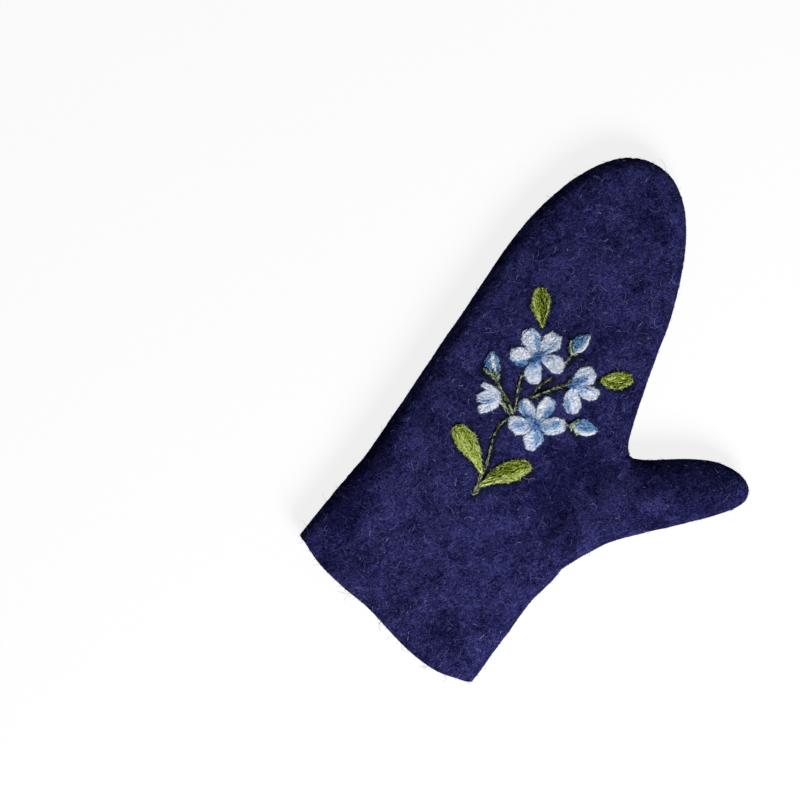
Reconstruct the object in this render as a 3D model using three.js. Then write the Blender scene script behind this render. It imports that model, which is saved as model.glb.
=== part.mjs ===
// A wet-felted wool mitten for the left hand, lying on its palm, with a spray of small blue
// flowers needle-felted on its back. Millimetres, +Z up. The flat of the palm rests at z = 0,
// +Y runs along the hand to the fingertips and +X towards the thumb. The origin is the middle
// of the palm, on the surface that the mitten lies on.
import * as THREE from 'three';

const wall = 3;             // thickness of the felt
const edgeReach = 9.5;      // the rounded edge runs this far in from the outline
const edgeHeight = 8.5;     // height of the outline, where the back meets the palm
const plainHeight = 15;     // height of the back where no rise or dent changes it
const reliefGap = 0.35;     // between the felt and what is needled onto it
const reliefEdge = 0.35;    // thickness of a petal or a leaf at its border
const stemWidth = 1.5;
const stemHeight = 1.1;
const woolRoughness = 0.95;

const colours = {
  navyFelt: 0x26265a,
  stemGreen: 0x6f7f3c,
  leafGreen: 0x7f9a2e,
  petalPale: 0xc3d2e6,
  budBlue: 0x4f80b4,
  eyeBlue: 0x3f73ad,
};

// The hand's outline, from the hem to where the fingertips begin to round. bow is how far a
// cross-line sags towards the wearer's arm, and steps is how many strips lie before the next row.
const handRows = [
  { place: 'hem',        leftX: -73.0, leftY: -74,  rightX: 37.0, rightY: -102, bow: 9.5, steps: 3 },
  { place: 'cuff',       leftX: -69.5, leftY: -58,  rightX: 41.0, rightY: -78,  bow: 6, steps: 3 },
  { place: 'wrist',      leftX: -64.5, leftY: -37,  rightX: 45.8, rightY: -53,  bow: 3, steps: 2 },
  { place: 'thumb root', leftX: -60.5, leftY: -21,  rightX: 52.0, rightY: -33,  bow: 1, steps: 9 },
  { place: 'crotch',     leftX: -53.0, leftY: 32,   rightX: 57.5, rightY: 32.4, bow: 0, steps: 1 },
  { place: 'knuckles',   leftX: -51.8, leftY: 40.5, rightX: 54.0, rightY: 41,   bow: 0, steps: 3 },
  { place: 'fingers',    leftX: -48.2, leftY: 64,   rightX: 50.4, rightY: 64,   bow: 0, steps: 2 },
  { place: 'finger ends', leftX: -45.0, leftY: 88,  rightX: 47.5, rightY: 88,   bow: 0, steps: 10 },
];
const seamRow = 3;          // the thumb grows out between the rows thumb root and crotch
const handTip = { x: 4.2, y: 170, taper: 0.18, bend: 2.4, round: 0.46 };

// The hem's wave: its shares of the bow at even steps from the left corner to the right.
const hemWave = [0, 0.46, 0.58, 0.52, 0.8, 1, 0.72, 0];

// The thumb's outline, from the seam with the hand to where its end begins to round. Its left
// side is the one next to the fingers.
const thumbRows = [
  { place: 'seam',   leftX: 57.5, leftY: 32.4, rightX: 52.0,  rightY: -33,  steps: 1 },
  { place: 'web',    leftX: 62.6, leftY: 33.5, rightX: 57.5,  rightY: -24,  steps: 1 },
  { place: 'root',   leftX: 69.5, leftY: 36.5, rightX: 67.0,  rightY: -11,  steps: 1 },
  { place: 'joint',  leftX: 77.0, leftY: 40.5, rightX: 79.0,  rightY: 0,    steps: 1 },
  { place: 'middle', leftX: 84.5, leftY: 44.5, rightX: 92.0,  rightY: 10.4, steps: 1 },
  { place: 'nail',   leftX: 92.3, leftY: 47.8, rightX: 104.0, rightY: 20.3, steps: 7 },
];
const thumbTip = { x: 118.9, y: 43.2, taper: 0.1, bend: 2, round: 0.5 };

// The spray needled onto the back. A flower's petals start petalStart from its middle.
const petalStart = 2.3;
const flowers = [
  { name: 'upper', x: -4.9,  y: 57.3, eye: 1.7 },
  { name: 'lower', x: 8.6,   y: 26.8, eye: 1.8 },
  { name: 'right', x: 17.4,  y: 52,   eye: 1.5 },
  { name: 'left',  x: -13.3, y: 30.6, eye: 0 },   // seen from the side, its middle hidden
];
// reach is from the flower's middle to the petal's tip.
const petals = [
  { flower: 'upper', turn: 132,  reach: 14.9, width: 8.6 },
  { flower: 'upper', turn: 77,   reach: 15.3, width: 8.6 },
  { flower: 'upper', turn: 0,    reach: 15,   width: 8.5 },
  { flower: 'upper', turn: -76,  reach: 13.3, width: 9 },
  { flower: 'upper', turn: -156, reach: 13.7, width: 9 },
  { flower: 'lower', turn: 144,  reach: 14.5, width: 7.5 },
  { flower: 'lower', turn: 86,   reach: 15.6, width: 8.6 },
  { flower: 'lower', turn: 21,   reach: 14.6, width: 8 },
  { flower: 'lower', turn: -75,  reach: 13.7, width: 9.6 },
  { flower: 'lower', turn: -156, reach: 14,   width: 9 },
  { flower: 'right', turn: 67,   reach: 12.9, width: 9.2 },
  { flower: 'right', turn: 5,    reach: 13.7, width: 7.5 },
  { flower: 'right', turn: -66,  reach: 13.8, width: 8 },
  { flower: 'left',  turn: 167,  reach: 11.6, width: 3.6 },
  { flower: 'left',  turn: -155, reach: 11.8, width: 4.8 },
  { flower: 'left',  turn: -119, reach: 12.6, width: 4.2 },
];
// x and y are the stalk end, and crest is how far along the widest place lies.
const leaves = [
  { name: 'leaf_top',   x: -9.3, y: 72.1,  turn: 119, length: 19.2, width: 9.5, crest: 0.62 },
  { name: 'leaf_right', x: 27.3, y: 59.2,  turn: 30,  length: 17.3, width: 9,   crest: 0.48 },
  { name: 'leaf_left',  x: -6.4, y: -6.2,  turn: 141, length: 25.2, width: 10,  crest: 0.66 },
  { name: 'leaf_low',   x: -2.3, y: -14.1, turn: 50,  length: 28.4, width: 10,  crest: 0.64 },
];
const buds = [
  { name: 'bud_left',  x: -19.4, y: 39.1, turn: 125, length: 13,   width: 7.8, crest: 0.5 },
  { name: 'bud_upper', x: 9.2,   y: 67.2, turn: 72,  length: 11.5, width: 6.6, crest: 0.5 },
  { name: 'bud_low',   x: 26.4,  y: 33.6, turn: 18,  length: 12,   width: 7,   crest: 0.5 },
];
const calyces = [
  { name: 'calyx_left',  x: -19.6, y: 37.4, turn: 177, length: 7.8, width: 2.4, crest: 0.45 },
  { name: 'calyx_upper', x: 8.3,   y: 65.9, turn: 130, length: 6.6, width: 2.2, crest: 0.45 },
  { name: 'calyx_low',   x: 25.4,  y: 31.8, turn: -28, length: 7.2, width: 2.2, crest: 0.45 },
];
const puffs = { petal: 1.4, leaf: 1.3, bud: 2, calyx: 1.2, eye: 1.7 };   // thickness in the middle
const ends = {
  petal: { root: 0.85, tip: 0.5 },
  leaf: { root: 0.95, tip: 0.5 },
  bud: { root: 0.6, tip: 0.75 },
  calyx: { root: 0.78, tip: 0.78 },
  eye: { root: 0.5, tip: 0.5 },
};
const petalCrest = 0.6;

// Each stem's route in the plan, from the end nearer the wearer's arm.
const stems = [
  { name: 'stem_main', route: [[-4.2, -18.3], [-3.9, -12.1], [-4.5, -4], [-5.7, 4.3], [-6.8, 10.4],
    [-6.9, 16.1], [-6.2, 20.5], [-5.8, 24.2]] },
  { name: 'stem_left_flower', route: [[-7.7, 25.6], [-9.6, 27.6], [-11.6, 29.4], [-12.5, 31],
    [-13, 32.2]] },
  { name: 'stem_left_bud', route: [[-6.5, 28.2], [-8.9, 31.2], [-12.6, 34.3], [-17.6, 37.4]] },
  { name: 'stem_upper_flower', route: [[-3.9, 28.3], [-5.4, 33.5], [-7.2, 39.2], [-8.2, 43.7],
    [-8.5, 47.3]] },
  { name: 'stem_upper_bud_low', route: [[-0.3, 38.4], [0.6, 41.5], [1.8, 44.7], [3.4, 48.2], [4.8, 50.6]] },
  { name: 'stem_upper_bud_top', route: [[9.6, 62], [9.3, 63.6], [9.2, 65.2]] },
  { name: 'stem_right_flower', route: [[2.4, 38.7], [5.3, 42], [8.8, 45.3], [12.1, 49], [14.2, 50.9]] },
  { name: 'stem_low_bud', route: [[23.4, 32.8], [25.4, 33.3]] },
];

// Broad rises and dents of the back, in the plan. long and wide are the reach of each along
// and across its own direction, and turn is that direction in degrees from +X.
const relief = [
  { what: 'hand on the palm',     x: -4,  y: 10,  long: 95, wide: 60, turn: 90,  rise: 8 },
  { what: 'thumb ridge',          x: 88,  y: 22,  long: 42, wide: 17, turn: 30,  rise: 3 },
  { what: 'fold below the web',   x: 47,  y: 18,  long: 30, wide: 11, turn: 66,  rise: -3.4 },
  { what: 'fold into the palm',   x: 36,  y: -6,  long: 24, wide: 11, turn: 100, rise: -1.6 },
  { what: 'ball of the thumb',    x: 62,  y: -4,  long: 28, wide: 15, turn: 48,  rise: 2.2 },
  { what: 'hollow of the wrist',  x: -14, y: -58, long: 60, wide: 16, turn: -10, rise: -2.4 },
  { what: 'cuff standing open',   x: 8,   y: -96, long: 34, wide: 20, turn: -10, rise: 2.6 },
  { what: 'slack cuff corner',    x: -50, y: -76, long: 18, wide: 14, turn: 30,  rise: -1.4 },
  { what: 'finger crease',        x: 6,   y: 134, long: 34, wide: 11, turn: 12,  rise: -1.3 },
];

const edgeSteps = 5;        // facets of the rounded edge, on the back and on the palm alike
const middleSteps = 9;      // facets between the two rounded edges, and along the thumb's seam

const mix = (a, b, t) => a + (b - a) * t;
const rad = THREE.MathUtils.degToRad;

// A strip of the outline: rows first, and one more unit of u for the rounded end.
function makeStrip(rows, tip) {
  const left = new THREE.SplineCurve(rows.map((r) => new THREE.Vector2(r.leftX, r.leftY)));
  const right = new THREE.SplineCurve(rows.map((r) => new THREE.Vector2(r.rightX, r.rightY)));
  const last = rows.length - 1;
  const edges = (u) => {
    if (u <= last) return [left.getPoint(u / last), right.getPoint(u / last)];
    const t = Math.min(u - last, 1);
    const [a, b] = [left.getPoint(1), right.getPoint(1)];
    const centre = a.clone().add(b).multiplyScalar(0.5).lerp(new THREE.Vector2(tip.x, tip.y), t);
    const shrink = (1 - tip.taper * t) * Math.pow(Math.max(1 - Math.pow(t, tip.bend), 0), tip.round);
    const half = b.clone().sub(a).multiplyScalar(0.5 * shrink);
    return [centre.clone().sub(half), centre.add(half)];
  };
  // The values of u at which the strip is cut across.
  const stations = [0];
  rows.forEach((row, i) => {
    for (let j = 1; j <= row.steps; j++) {
      stations.push(i + (i < last ? j / row.steps : Math.sin((j / row.steps) * Math.PI / 2)));
    }
  });
  return { last, edges, stations };
}

const hand = makeStrip(handRows, handTip);
const thumb = makeStrip(thumbRows, thumbTip);

// Inward normal of a strip's edge, from the edge's own direction. At the end of the strip it
// is the mean of both sides, so that the end is even.
function inward(strip, side, u) {
  const e = 0.01;
  const normal = (s) => {
    const a = strip.edges(Math.max(u - e, 0))[s];
    const b = strip.edges(Math.min(u + e, strip.last + 1))[s];
    const along = b.sub(a).normalize();
    return s === 0 ? new THREE.Vector2(along.y, -along.x) : new THREE.Vector2(-along.y, along.x);
  };
  return u === strip.last + 1 ? normal(0).add(normal(1)).normalize() : normal(side);
}

// The outline as a fine polyline from one hem corner round to the other. It runs on past both
// corners, so that the edge is round up to the hem itself.
function outlinePoints() {
  const fine = 14;
  const walk = (strip, side, from, to) => {
    const n = Math.ceil(Math.abs(to - from) * fine);
    return Array.from({ length: n + 1 }, (_, i) => strip.edges(mix(from, to, i / n))[side]);
  };
  const round = [
    ...walk(hand, 0, 0, hand.last + 1),
    ...walk(hand, 1, hand.last + 1, seamRow + 1),
    ...walk(thumb, 0, 0, thumb.last + 1),
    ...walk(thumb, 1, thumb.last + 1, 0),
    ...walk(hand, 1, seamRow, 0),
  ];
  const beyond = (a, b) => a.clone().addScaledVector(a.clone().sub(b).normalize(), 2 * edgeReach);
  return [beyond(round[0], round[1]), ...round, beyond(round.at(-1), round.at(-2))];
}
const outline = outlinePoints();

// Distance in the plan from a point to the outline.
function inFromEdge(x, y) {
  let best = Infinity;
  for (let i = 1; i < outline.length; i++) {
    const a = outline[i - 1];
    const b = outline[i];
    const [ex, ey, px, py] = [b.x - a.x, b.y - a.y, x - a.x, y - a.y];
    const t = THREE.MathUtils.clamp((px * ex + py * ey) / (ex * ex + ey * ey || 1), 0, 1);
    best = Math.min(best, Math.hypot(px - t * ex, py - t * ey));
  }
  return best;
}

// Quarter-round rise from 0 at the outline to 1 at the reach of the rounded edge.
const roundRise = (t) => Math.sqrt(1 - Math.pow(1 - Math.min(Math.max(t, 0), 1), 2));

function backHeight(x, y) {
  return relief.reduce((sum, r) => {
    const [c, s] = [Math.cos(rad(r.turn)), Math.sin(rad(r.turn))];
    const [dx, dy] = [x - r.x, y - r.y];
    const along = (dx * c + dy * s) / r.long;
    const across = (dy * c - dx * s) / r.wide;
    return sum + r.rise * Math.exp(-along * along - across * across);
  }, plainHeight);
}

// Height of the felt's outer face on the back.
const backZ = (x, y) => mix(edgeHeight, backHeight(x, y), roundRise(inFromEdge(x, y) / edgeReach));

// The plan as a net of points and four-sided cells, drawn in from the outline by inset. rise
// is each point's share of the full height, from 0 on the outline to 1 inside the rounded edge.
// The thumb's first row of points is the hand's own edge between thumb root and crotch.
function planNet(inset) {
  const points = [];
  const cells = [];
  const add = (p, rise) => points.push({ x: p.x, y: p.y, rise }) - 1;

  // Sag of the hand's cross-line at u, at the fraction f across. The thumb's have none.
  const wave = new THREE.SplineCurve(hemWave.map((share, k) => new THREE.Vector2(k, share)));
  const sag = (u, f) => {
    const i = Math.min(Math.floor(u), hand.last);
    const bow = i < hand.last ? mix(handRows[i].bow, handRows[i + 1].bow, u - i) : 0;
    const [left, right] = hand.edges(u);
    const down = new THREE.Vector2(right.y - left.y, left.x - right.x).normalize();
    return bow > 0 ? down.multiplyScalar(bow * wave.getPoint(f).y) : down.set(0, 0);
  };
  const noSag = () => new THREE.Vector2();

  // A column of points from the outline inwards through the rounded edge.
  const column = (strip, side, u, normal = inward(strip, side, u), sagOf = noSag) => {
    const [left, right] = strip.edges(u);
    const width = left.distanceTo(right) || 1;
    return Array.from({ length: edgeSteps + 1 }, (_, j) => {
      const angle = (j / edgeSteps) * Math.PI / 2;
      const depth = mix(inset, edgeReach, 1 - Math.cos(angle));
      const f = side === 0 ? depth / width : 1 - depth / width;
      const p = (side === 0 ? left : right).clone().addScaledVector(normal, depth);
      return add(p.add(sagOf(u, f)), Math.sin(angle));
    });
  };
  // Points between the two rounded edges. Both end points are there already.
  const between = (a, b, bend = noSag) => Array.from({ length: middleSteps + 1 }, (_, k) => {
    if (k === 0 || a === b) return a;
    if (k === middleSteps) return b;
    const p = new THREE.Vector2(points[a].x, points[a].y);
    p.lerp(new THREE.Vector2(points[b].x, points[b].y), k / middleSteps);
    return add(p.add(bend(k / middleSteps)), 1);
  });
  const join = (rows) => rows.slice(1).forEach((row, i) => {
    for (let k = 1; k < row.length; k++) cells.push([rows[i][k - 1], rows[i][k], row[k], row[k - 1]]);
  });

  const outOfWeb = thumb.edges(0.25)[0].sub(hand.edges(seamRow + 1.25)[1]).normalize();
  const webNormal = new THREE.Vector2(outOfWeb.y, -outOfWeb.x);
  const rootNormal = inward(hand, 1, seamRow).add(inward(thumb, 1, 0)).normalize();
  const crotch = column(hand, 1, seamRow + 1, webNormal);
  const root = column(hand, 1, seamRow, rootNormal, sag);
  const seam = between(root.at(-1), crotch.at(-1));

  const handLeft = hand.stations.map((u) => column(hand, 0, u, inward(hand, 0, u), sag));
  const handRight = hand.stations.map((u, i) => {
    if (u === hand.last + 1) return handLeft[i];
    if (u > seamRow && u < seamRow + 1) return [seam[Math.round((u - seamRow) * middleSteps)]];
    if (u === seamRow) return root;
    return u === seamRow + 1 ? crotch : column(hand, 1, u, inward(hand, 1, u), sag);
  });
  const handMiddle = hand.stations.map((u, i) => {
    const share = edgeReach / hand.edges(u)[0].distanceTo(hand.edges(u)[1]);
    const [first, last] = [sag(u, share), sag(u, 1 - share)];
    const bend = (k) => sag(u, mix(share, 1 - share, k)).sub(first.clone().lerp(last, k));
    return between(handLeft[i].at(-1), handRight[i].at(-1), bend);
  });
  join(handMiddle);

  const thumbStations = thumb.stations.slice(1);
  const thumbLeft = thumbStations.map((u) => column(thumb, 0, u));
  const thumbRight = thumbStations.slice(0, -1).map((u) => column(thumb, 1, u));
  thumbRight.push(thumbLeft.at(-1));
  join([
    [...seam].reverse(),
    ...thumbLeft.map((c, i) => between(c.at(-1), thumbRight[i].at(-1))),
  ]);

  const outwards = (columns) => columns.map((c) => [...c].reverse());
  join(handLeft);
  join(outwards(handRight.slice(0, hand.stations.indexOf(seamRow) + 1)));
  join(outwards(handRight.slice(hand.stations.indexOf(seamRow + 1))));
  join([crotch, ...thumbLeft]);
  join(outwards([root, ...thumbRight]));
  const [lastColumn] = outwards(handRight);
  return { points, cells, hem: [...handLeft[0], ...handMiddle[0].slice(1), ...lastColumn.slice(1)] };
}

function meshFrom(name, color, positions, triangles) {
  const geometry = new THREE.BufferGeometry();
  geometry.setAttribute('position', new THREE.Float32BufferAttribute(positions, 3));
  geometry.setIndex(triangles);
  geometry.computeVertexNormals();
  const material = new THREE.MeshStandardMaterial({ color, roughness: woolRoughness, metalness: 0 });
  const mesh = new THREE.Mesh(geometry, material);
  mesh.name = name;
  return mesh;
}

// The mitten itself: one felted wall with the back above, the palm below and the cuff open.
function makeBody() {
  const positions = [];
  const triangles = [];
  const vertex = (x, y, z) => positions.push(x, y, z) / 3 - 1;
  const face = (...ids) => {
    for (let i = 1; i < ids.length - 1; i++) {
      const t = [ids[0], ids[i], ids[i + 1]];
      if (new Set(t).size === 3) triangles.push(...t);
    }
  };
  const skin = (depth, outer) => {
    const net = planNet(depth);
    const back = net.points.map((p) => (
      vertex(p.x, p.y, mix(edgeHeight, backHeight(p.x, p.y) - depth, p.rise))));
    const palm = net.points.map((p, i) => (
      p.rise === 0 ? back[i] : vertex(p.x, p.y, mix(edgeHeight, depth, p.rise))));
    net.cells.forEach((cell) => {
      const reversed = [...cell].reverse();
      face(...(outer ? cell : reversed).map((i) => back[i]));
      face(...(outer ? reversed : cell).map((i) => palm[i]));
    });
    return { back: net.hem.map((i) => back[i]), palm: net.hem.map((i) => palm[i]) };
  };
  const outside = skin(0, true);
  const inside = skin(wall, false);
  for (let k = 1; k < outside.back.length; k++) {
    face(inside.back[k - 1], inside.back[k], outside.back[k], outside.back[k - 1]);
    face(outside.palm[k - 1], outside.palm[k], inside.palm[k], inside.palm[k - 1]);
  }
  return meshFrom('mitten_body', colours.navyFelt, positions, triangles);
}

// Half width of a petal, leaf or bud at t along it, widest at its crest. blunt shapes its two
// ends: 1 gives a sine's point, and less a rounder end.
const halfWidthOf = (width, crest, blunt) => {
  const power = Math.log(0.5) / Math.log(crest);
  return (t) => {
    const arch = Math.max(Math.sin(Math.PI * Math.pow(t, power)), 0);
    return 0.5 * width * Math.pow(arch, mix(blunt.root, blunt.tip, t));
  };
};

// A puffy patch of wool on the back: a ring of points round its border, drawn in by each ring's
// share towards its crest, over a flat underside that follows the felt.
function makePatch(name, colour, patch, kind) {
  const sides = 12;
  const rings = [1, 0.6];
  const [c, s] = [Math.cos(rad(patch.turn)), Math.sin(rad(patch.turn))];
  const halfWidth = halfWidthOf(patch.width, patch.crest, ends[kind]);
  const thickness = puffs[kind];
  const border = Array.from({ length: sides }, (_, i) => {
    const angle = (i / sides) * 2 * Math.PI;
    const t = 0.5 - 0.5 * Math.cos(angle);
    return [t * patch.length, -Math.sign(Math.sin(angle)) * halfWidth(t)];
  });
  const crest = patch.length * patch.crest;
  const positions = [];
  const triangles = [];
  const vertex = (along, across, lift) => {
    const [x, y] = [patch.x + along * c - across * s, patch.y + along * s + across * c];
    return positions.push(x, y, backZ(x, y) + reliefGap + lift) / 3 - 1;
  };
  const layer = (liftOf) => rings.map((share) => border.map(([a, w]) => (
    vertex(mix(crest, a, share), w * share, liftOf(share)))));
  const top = layer((share) => mix(reliefEdge, thickness, roundRise(1 - share)));
  const under = layer(() => 0);
  const [topMiddle, underMiddle] = [vertex(crest, 0, thickness), vertex(crest, 0, 0)];
  const quad = (a, b, d, e) => triangles.push(a, b, d, a, d, e);
  for (let i = 0; i < sides; i++) {
    const j = (i + 1) % sides;
    quad(top[0][i], top[0][j], top[1][j], top[1][i]);
    quad(under[0][j], under[0][i], under[1][i], under[1][j]);
    quad(under[0][i], under[0][j], top[0][j], top[0][i]);
    triangles.push(top[1][i], top[1][j], topMiddle, under[1][j], under[1][i], underMiddle);
  }
  return meshFrom(name, colour, positions, triangles);
}

// A stem: a low half-round strip of wool along its route.
function makeStem(name, colour, route) {
  const stepLength = 4;
  const profile = [[1, 0], [0.75, 0.7], [0, 1], [-0.75, 0.7], [-1, 0]];   // shares of width, height
  const curve = new THREE.SplineCurve(route.map(([x, y]) => new THREE.Vector2(x, y)));
  const steps = Math.max(Math.round(curve.getLength() / stepLength), 1);
  const positions = [];
  const triangles = [];
  const sections = Array.from({ length: steps + 1 }, (_, i) => {
    const p = curve.getPointAt(i / steps);
    const along = curve.getTangentAt(i / steps);
    return profile.map(([side, up]) => {
      const [x, y] = [p.x + along.y * side * stemWidth / 2, p.y - along.x * side * stemWidth / 2];
      return positions.push(x, y, backZ(x, y) + reliefGap + up * stemHeight) / 3 - 1;
    });
  });
  const sides = profile.length;
  sections.slice(1).forEach((b, i) => {
    const a = sections[i];
    for (let k = 0; k < sides; k++) {
      const m = (k + 1) % sides;
      triangles.push(a[k], b[k], b[m], a[k], b[m], a[m]);
    }
  });
  for (let k = 1; k + 1 < sides; k++) {
    triangles.push(sections[0][0], sections[0][k], sections[0][k + 1]);
    triangles.push(sections[steps][0], sections[steps][k + 1], sections[steps][k]);
  }
  return meshFrom(name, colour, positions, triangles);
}

// The petals of one flower, numbered anticlockwise from the first in the table, and its eye.
function makeFlower(flower) {
  const own = petals.filter((p) => p.flower === flower.name);
  const meshes = own.map((p, i) => {
    const [c, s] = [Math.cos(rad(p.turn)), Math.sin(rad(p.turn))];
    return makePatch(`petal_${flower.name}_${i + 1}`, colours.petalPale, {
      x: flower.x + petalStart * c, y: flower.y + petalStart * s, turn: p.turn,
      length: p.reach - petalStart, width: p.width, crest: petalCrest,
    }, 'petal');
  });
  if (flower.eye > 0) {
    const round = { x: flower.x - flower.eye, y: flower.y, turn: 0, length: 2 * flower.eye };
    const eye = { ...round, width: 2 * flower.eye, crest: 0.5 };
    meshes.push(makePatch(`eye_${flower.name}`, colours.eyeBlue, eye, 'eye'));
  }
  return meshes;
}

const group = new THREE.Group();
group.add(makeBody());
stems.forEach((stem) => group.add(makeStem(stem.name, colours.stemGreen, stem.route)));
leaves.forEach((leaf) => group.add(makePatch(leaf.name, colours.leafGreen, leaf, 'leaf')));
buds.forEach((bud) => group.add(makePatch(bud.name, colours.budBlue, bud, 'bud')));
calyces.forEach((calyx) => group.add(makePatch(calyx.name, colours.stemGreen, calyx, 'calyx')));
flowers.forEach((flower) => group.add(...makeFlower(flower)));

export default group;
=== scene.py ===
from functools import partial
import bmesh
import bpy
import numpy as np
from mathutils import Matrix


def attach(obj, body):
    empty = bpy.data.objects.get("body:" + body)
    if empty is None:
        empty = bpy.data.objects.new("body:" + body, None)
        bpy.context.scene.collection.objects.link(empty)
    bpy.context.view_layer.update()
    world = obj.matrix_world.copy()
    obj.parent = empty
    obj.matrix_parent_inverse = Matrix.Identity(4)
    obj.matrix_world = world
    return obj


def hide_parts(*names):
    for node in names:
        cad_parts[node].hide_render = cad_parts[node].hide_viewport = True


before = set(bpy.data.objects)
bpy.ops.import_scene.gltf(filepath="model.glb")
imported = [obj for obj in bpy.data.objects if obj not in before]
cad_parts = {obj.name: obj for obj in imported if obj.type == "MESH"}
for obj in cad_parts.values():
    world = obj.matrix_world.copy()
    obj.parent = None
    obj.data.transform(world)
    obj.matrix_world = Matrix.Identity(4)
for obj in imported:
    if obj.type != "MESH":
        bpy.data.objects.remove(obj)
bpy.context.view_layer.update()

# A wet-felted mitten in navy merino with a needle-felted spray of small blue flowers on its back.
# All sizes are millimetres up to the moment a mesh is made. +Y runs to the fingertips, +X to the thumb.
mm = 0.001
random = np.random.default_rng(417)

felt = {
    "wall": 3.0,            # thickness of the felt
    "edgeReach": 9.5,       # the rounded edge runs this far in from the outline
    "edgeHeight": 8.5,      # height of the outline, where the back meets the palm
    "plainHeight": 15.0,    # height of the back where no rise or dent changes it
    "seamRow": 3,           # the thumb grows out between this row and the next
    "outsideStep": 1.15,    # grid spacing along the hand on the outside
    "insideStep": 2.6,      # the same on the inside
    "backColumns": 84, "palmColumns": 40,
    "backEdge": 13, "palmEdge": 7,
    "seamSteps": 54, "insideSeamSteps": 22,
    "rimSteps": 6, "rimBulge": 0.9,     # the hem's rounded edge
}
# left x, y, right x, y, and the bow of the cross-line towards the arm
handRows = np.array([
    (-73.0, -74, 37.0, -102, 9.5), (-69.5, -58, 41.0, -78, 6), (-64.5, -37, 45.8, -53, 3),
    (-60.5, -21, 52.0, -33, 1), (-53.0, 32, 57.5, 32.4, 0), (-51.8, 40.5, 54.0, 41, 0),
    (-48.2, 64, 50.4, 64, 0), (-45.0, 88, 47.5, 88, 0),
])
handTip = {"x": 4.2, "y": 170, "taper": 0.18, "bend": 2.4, "round": 0.46, "slim": 0.0}
thumbRows = np.array([
    (57.5, 32.4, 52.0, -33), (62.6, 33.5, 57.5, -24), (69.5, 36.5, 67.0, -11),
    (77.0, 40.5, 79.0, 0), (84.5, 44.5, 92.0, 10.4), (92.3, 47.8, 104.0, 20.3),
])
thumbTip = {"x": 118.9, "y": 43.2, "taper": 0.1, "bend": 2.0, "round": 0.5, "slim": 0.12}
# share of the bow at even places across the hem, from left to right
hemWave = np.array([*enumerate((0, 0.46, 0.58, 0.54, 0.73, 0.84, 0.65, 0))])

# broad rises and dents of the back: x, y, long, wide, turn in degrees, rise
broadRelief = [
    (-4, 10, 95, 60, 90, 8), (88, 22, 42, 17, 30, 3), (47, 18, 30, 11, 66, -3.4),
    (36, -6, 24, 11, 100, -1.6), (62, -4, 28, 15, 48, 2.2), (-14, -58, 60, 16, -10, -2.4),
    (8, -96, 34, 20, -10, 2.6), (-50, -76, 18, 14, 30, -1.4), (6, 134, 34, 11, 12, -1.3),
]
# soft dents and creases of the worn felt, on the visible surface alone
softRelief = [
    (-22, -92, 13, 6, 60, -1.1), (-38, -80, 16, 6, 70, 0.7), (14, -88, 20, 7, -20, -0.7),
    (60, 24, 14, 5, 20, -1.0), (33, 96, 22, 8, 100, -0.6), (-30, 110, 20, 9, 80, -0.5),
    (-46, 4, 26, 6, 95, -0.5), (20, -44, 26, 7, 20, 0.6), (78, 14, 16, 6, 35, 0.5),
    (35, 2, 28, 8, 90, -1.1), (49, 2, 26, 9, 88, 1.3), (92, 27, 32, 8, 21, 1.0),
]
# painted shade and light on the felt's colour, darker where the amount is positive and lighter where it is
# negative: x, y, long, wide, turn in degrees, amount
paintedShadeAndLight = [
    (36, 6, 26, 10, 90, 0.5), (88, 36, 34, 8, 24, 0.5), (-30, 130, 40, 12, 70, 0.3),
    (-59, -46, 34, 9, 101, 0.75), (46, 48, 14, 7, 90, 0.35), (40, 24, 10, 7, 90, 0.3),
    (22, -6, 12, 7, 70, 0.3), (12, -90, 9, 6, 0, 0.4),
    (104, 28, 12, 6, 30, 0.4), (13, 148, 14, 8, 110, 0.45), (-37, -57, 10, 7, 90, -0.35),
    (45, -2, 14, 7, 88, -0.3), (59, 19, 8, 6, 30, -0.3), (-40, -14, 14, 8, 100, -0.25),
    (-55, -19, 19, 6, 98, 0.65), (84, 9, 15, 6, 38, 0.5), (49, -18, 10, 6, 110, 0.4), (17, 77, 8, 8, 0, 0.4),
    (32, 44, 7, 7, 0, 0.3), (50, 11, 6, 5, 0, 0.4),
]


def mixOf(a, b, t):     # a at t = 0, b at t = 1
    return a + (b - a) * t


def unit(v):    # each vector divided by its own length
    return v / np.maximum(np.linalg.norm(v, axis=-1, keepdims=True), 1e-9)


def directionOf(turn):      # cos and sin of an angle in degrees
    return np.cos(np.radians(turn)), np.sin(np.radians(turn))


# One draw for each of n, evenly between limits, or scattered by spread round 0.
def anyOf(n, limits):
    return random.uniform(*limits, (n, 1))


def about(n, spread):
    return random.normal(0, spread, (n, 1))


# Smooth lumps in -1..1: random values on a lattice of the given cell, blended by s*s*(3 - 2s)
# between the eight corners round each point.
def lumps(points, cell, seed):
    q = np.asarray(points, float) / cell
    i = np.floor(q).astype(np.int64)
    f = q - i
    f = f * f * (3 - 2 * f)
    total = np.zeros(q.shape[:-1])
    for corner in np.ndindex(2, 2, 2):
        c = np.array(corner)
        k = i + c
        h = (k[..., 0] * 73856093) ^ (k[..., 1] * 19349663) ^ (k[..., 2] * 83492791) ^ (seed * 97531)
        h = ((h ^ (h >> 13)) * 1274126177) & 0xffffffff
        h = (h ^ (h >> 16)) & 0xffff
        total += (h / 32767.5 - 1) * np.prod(np.where(c == 1, f, 1 - f), axis=-1)
    return total


def lumpsAt(x, y, z, cell, seed):       # the same, from three coordinates
    return lumps(np.stack(np.broadcast_arrays(x, y, z), -1), cell, seed)


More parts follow.
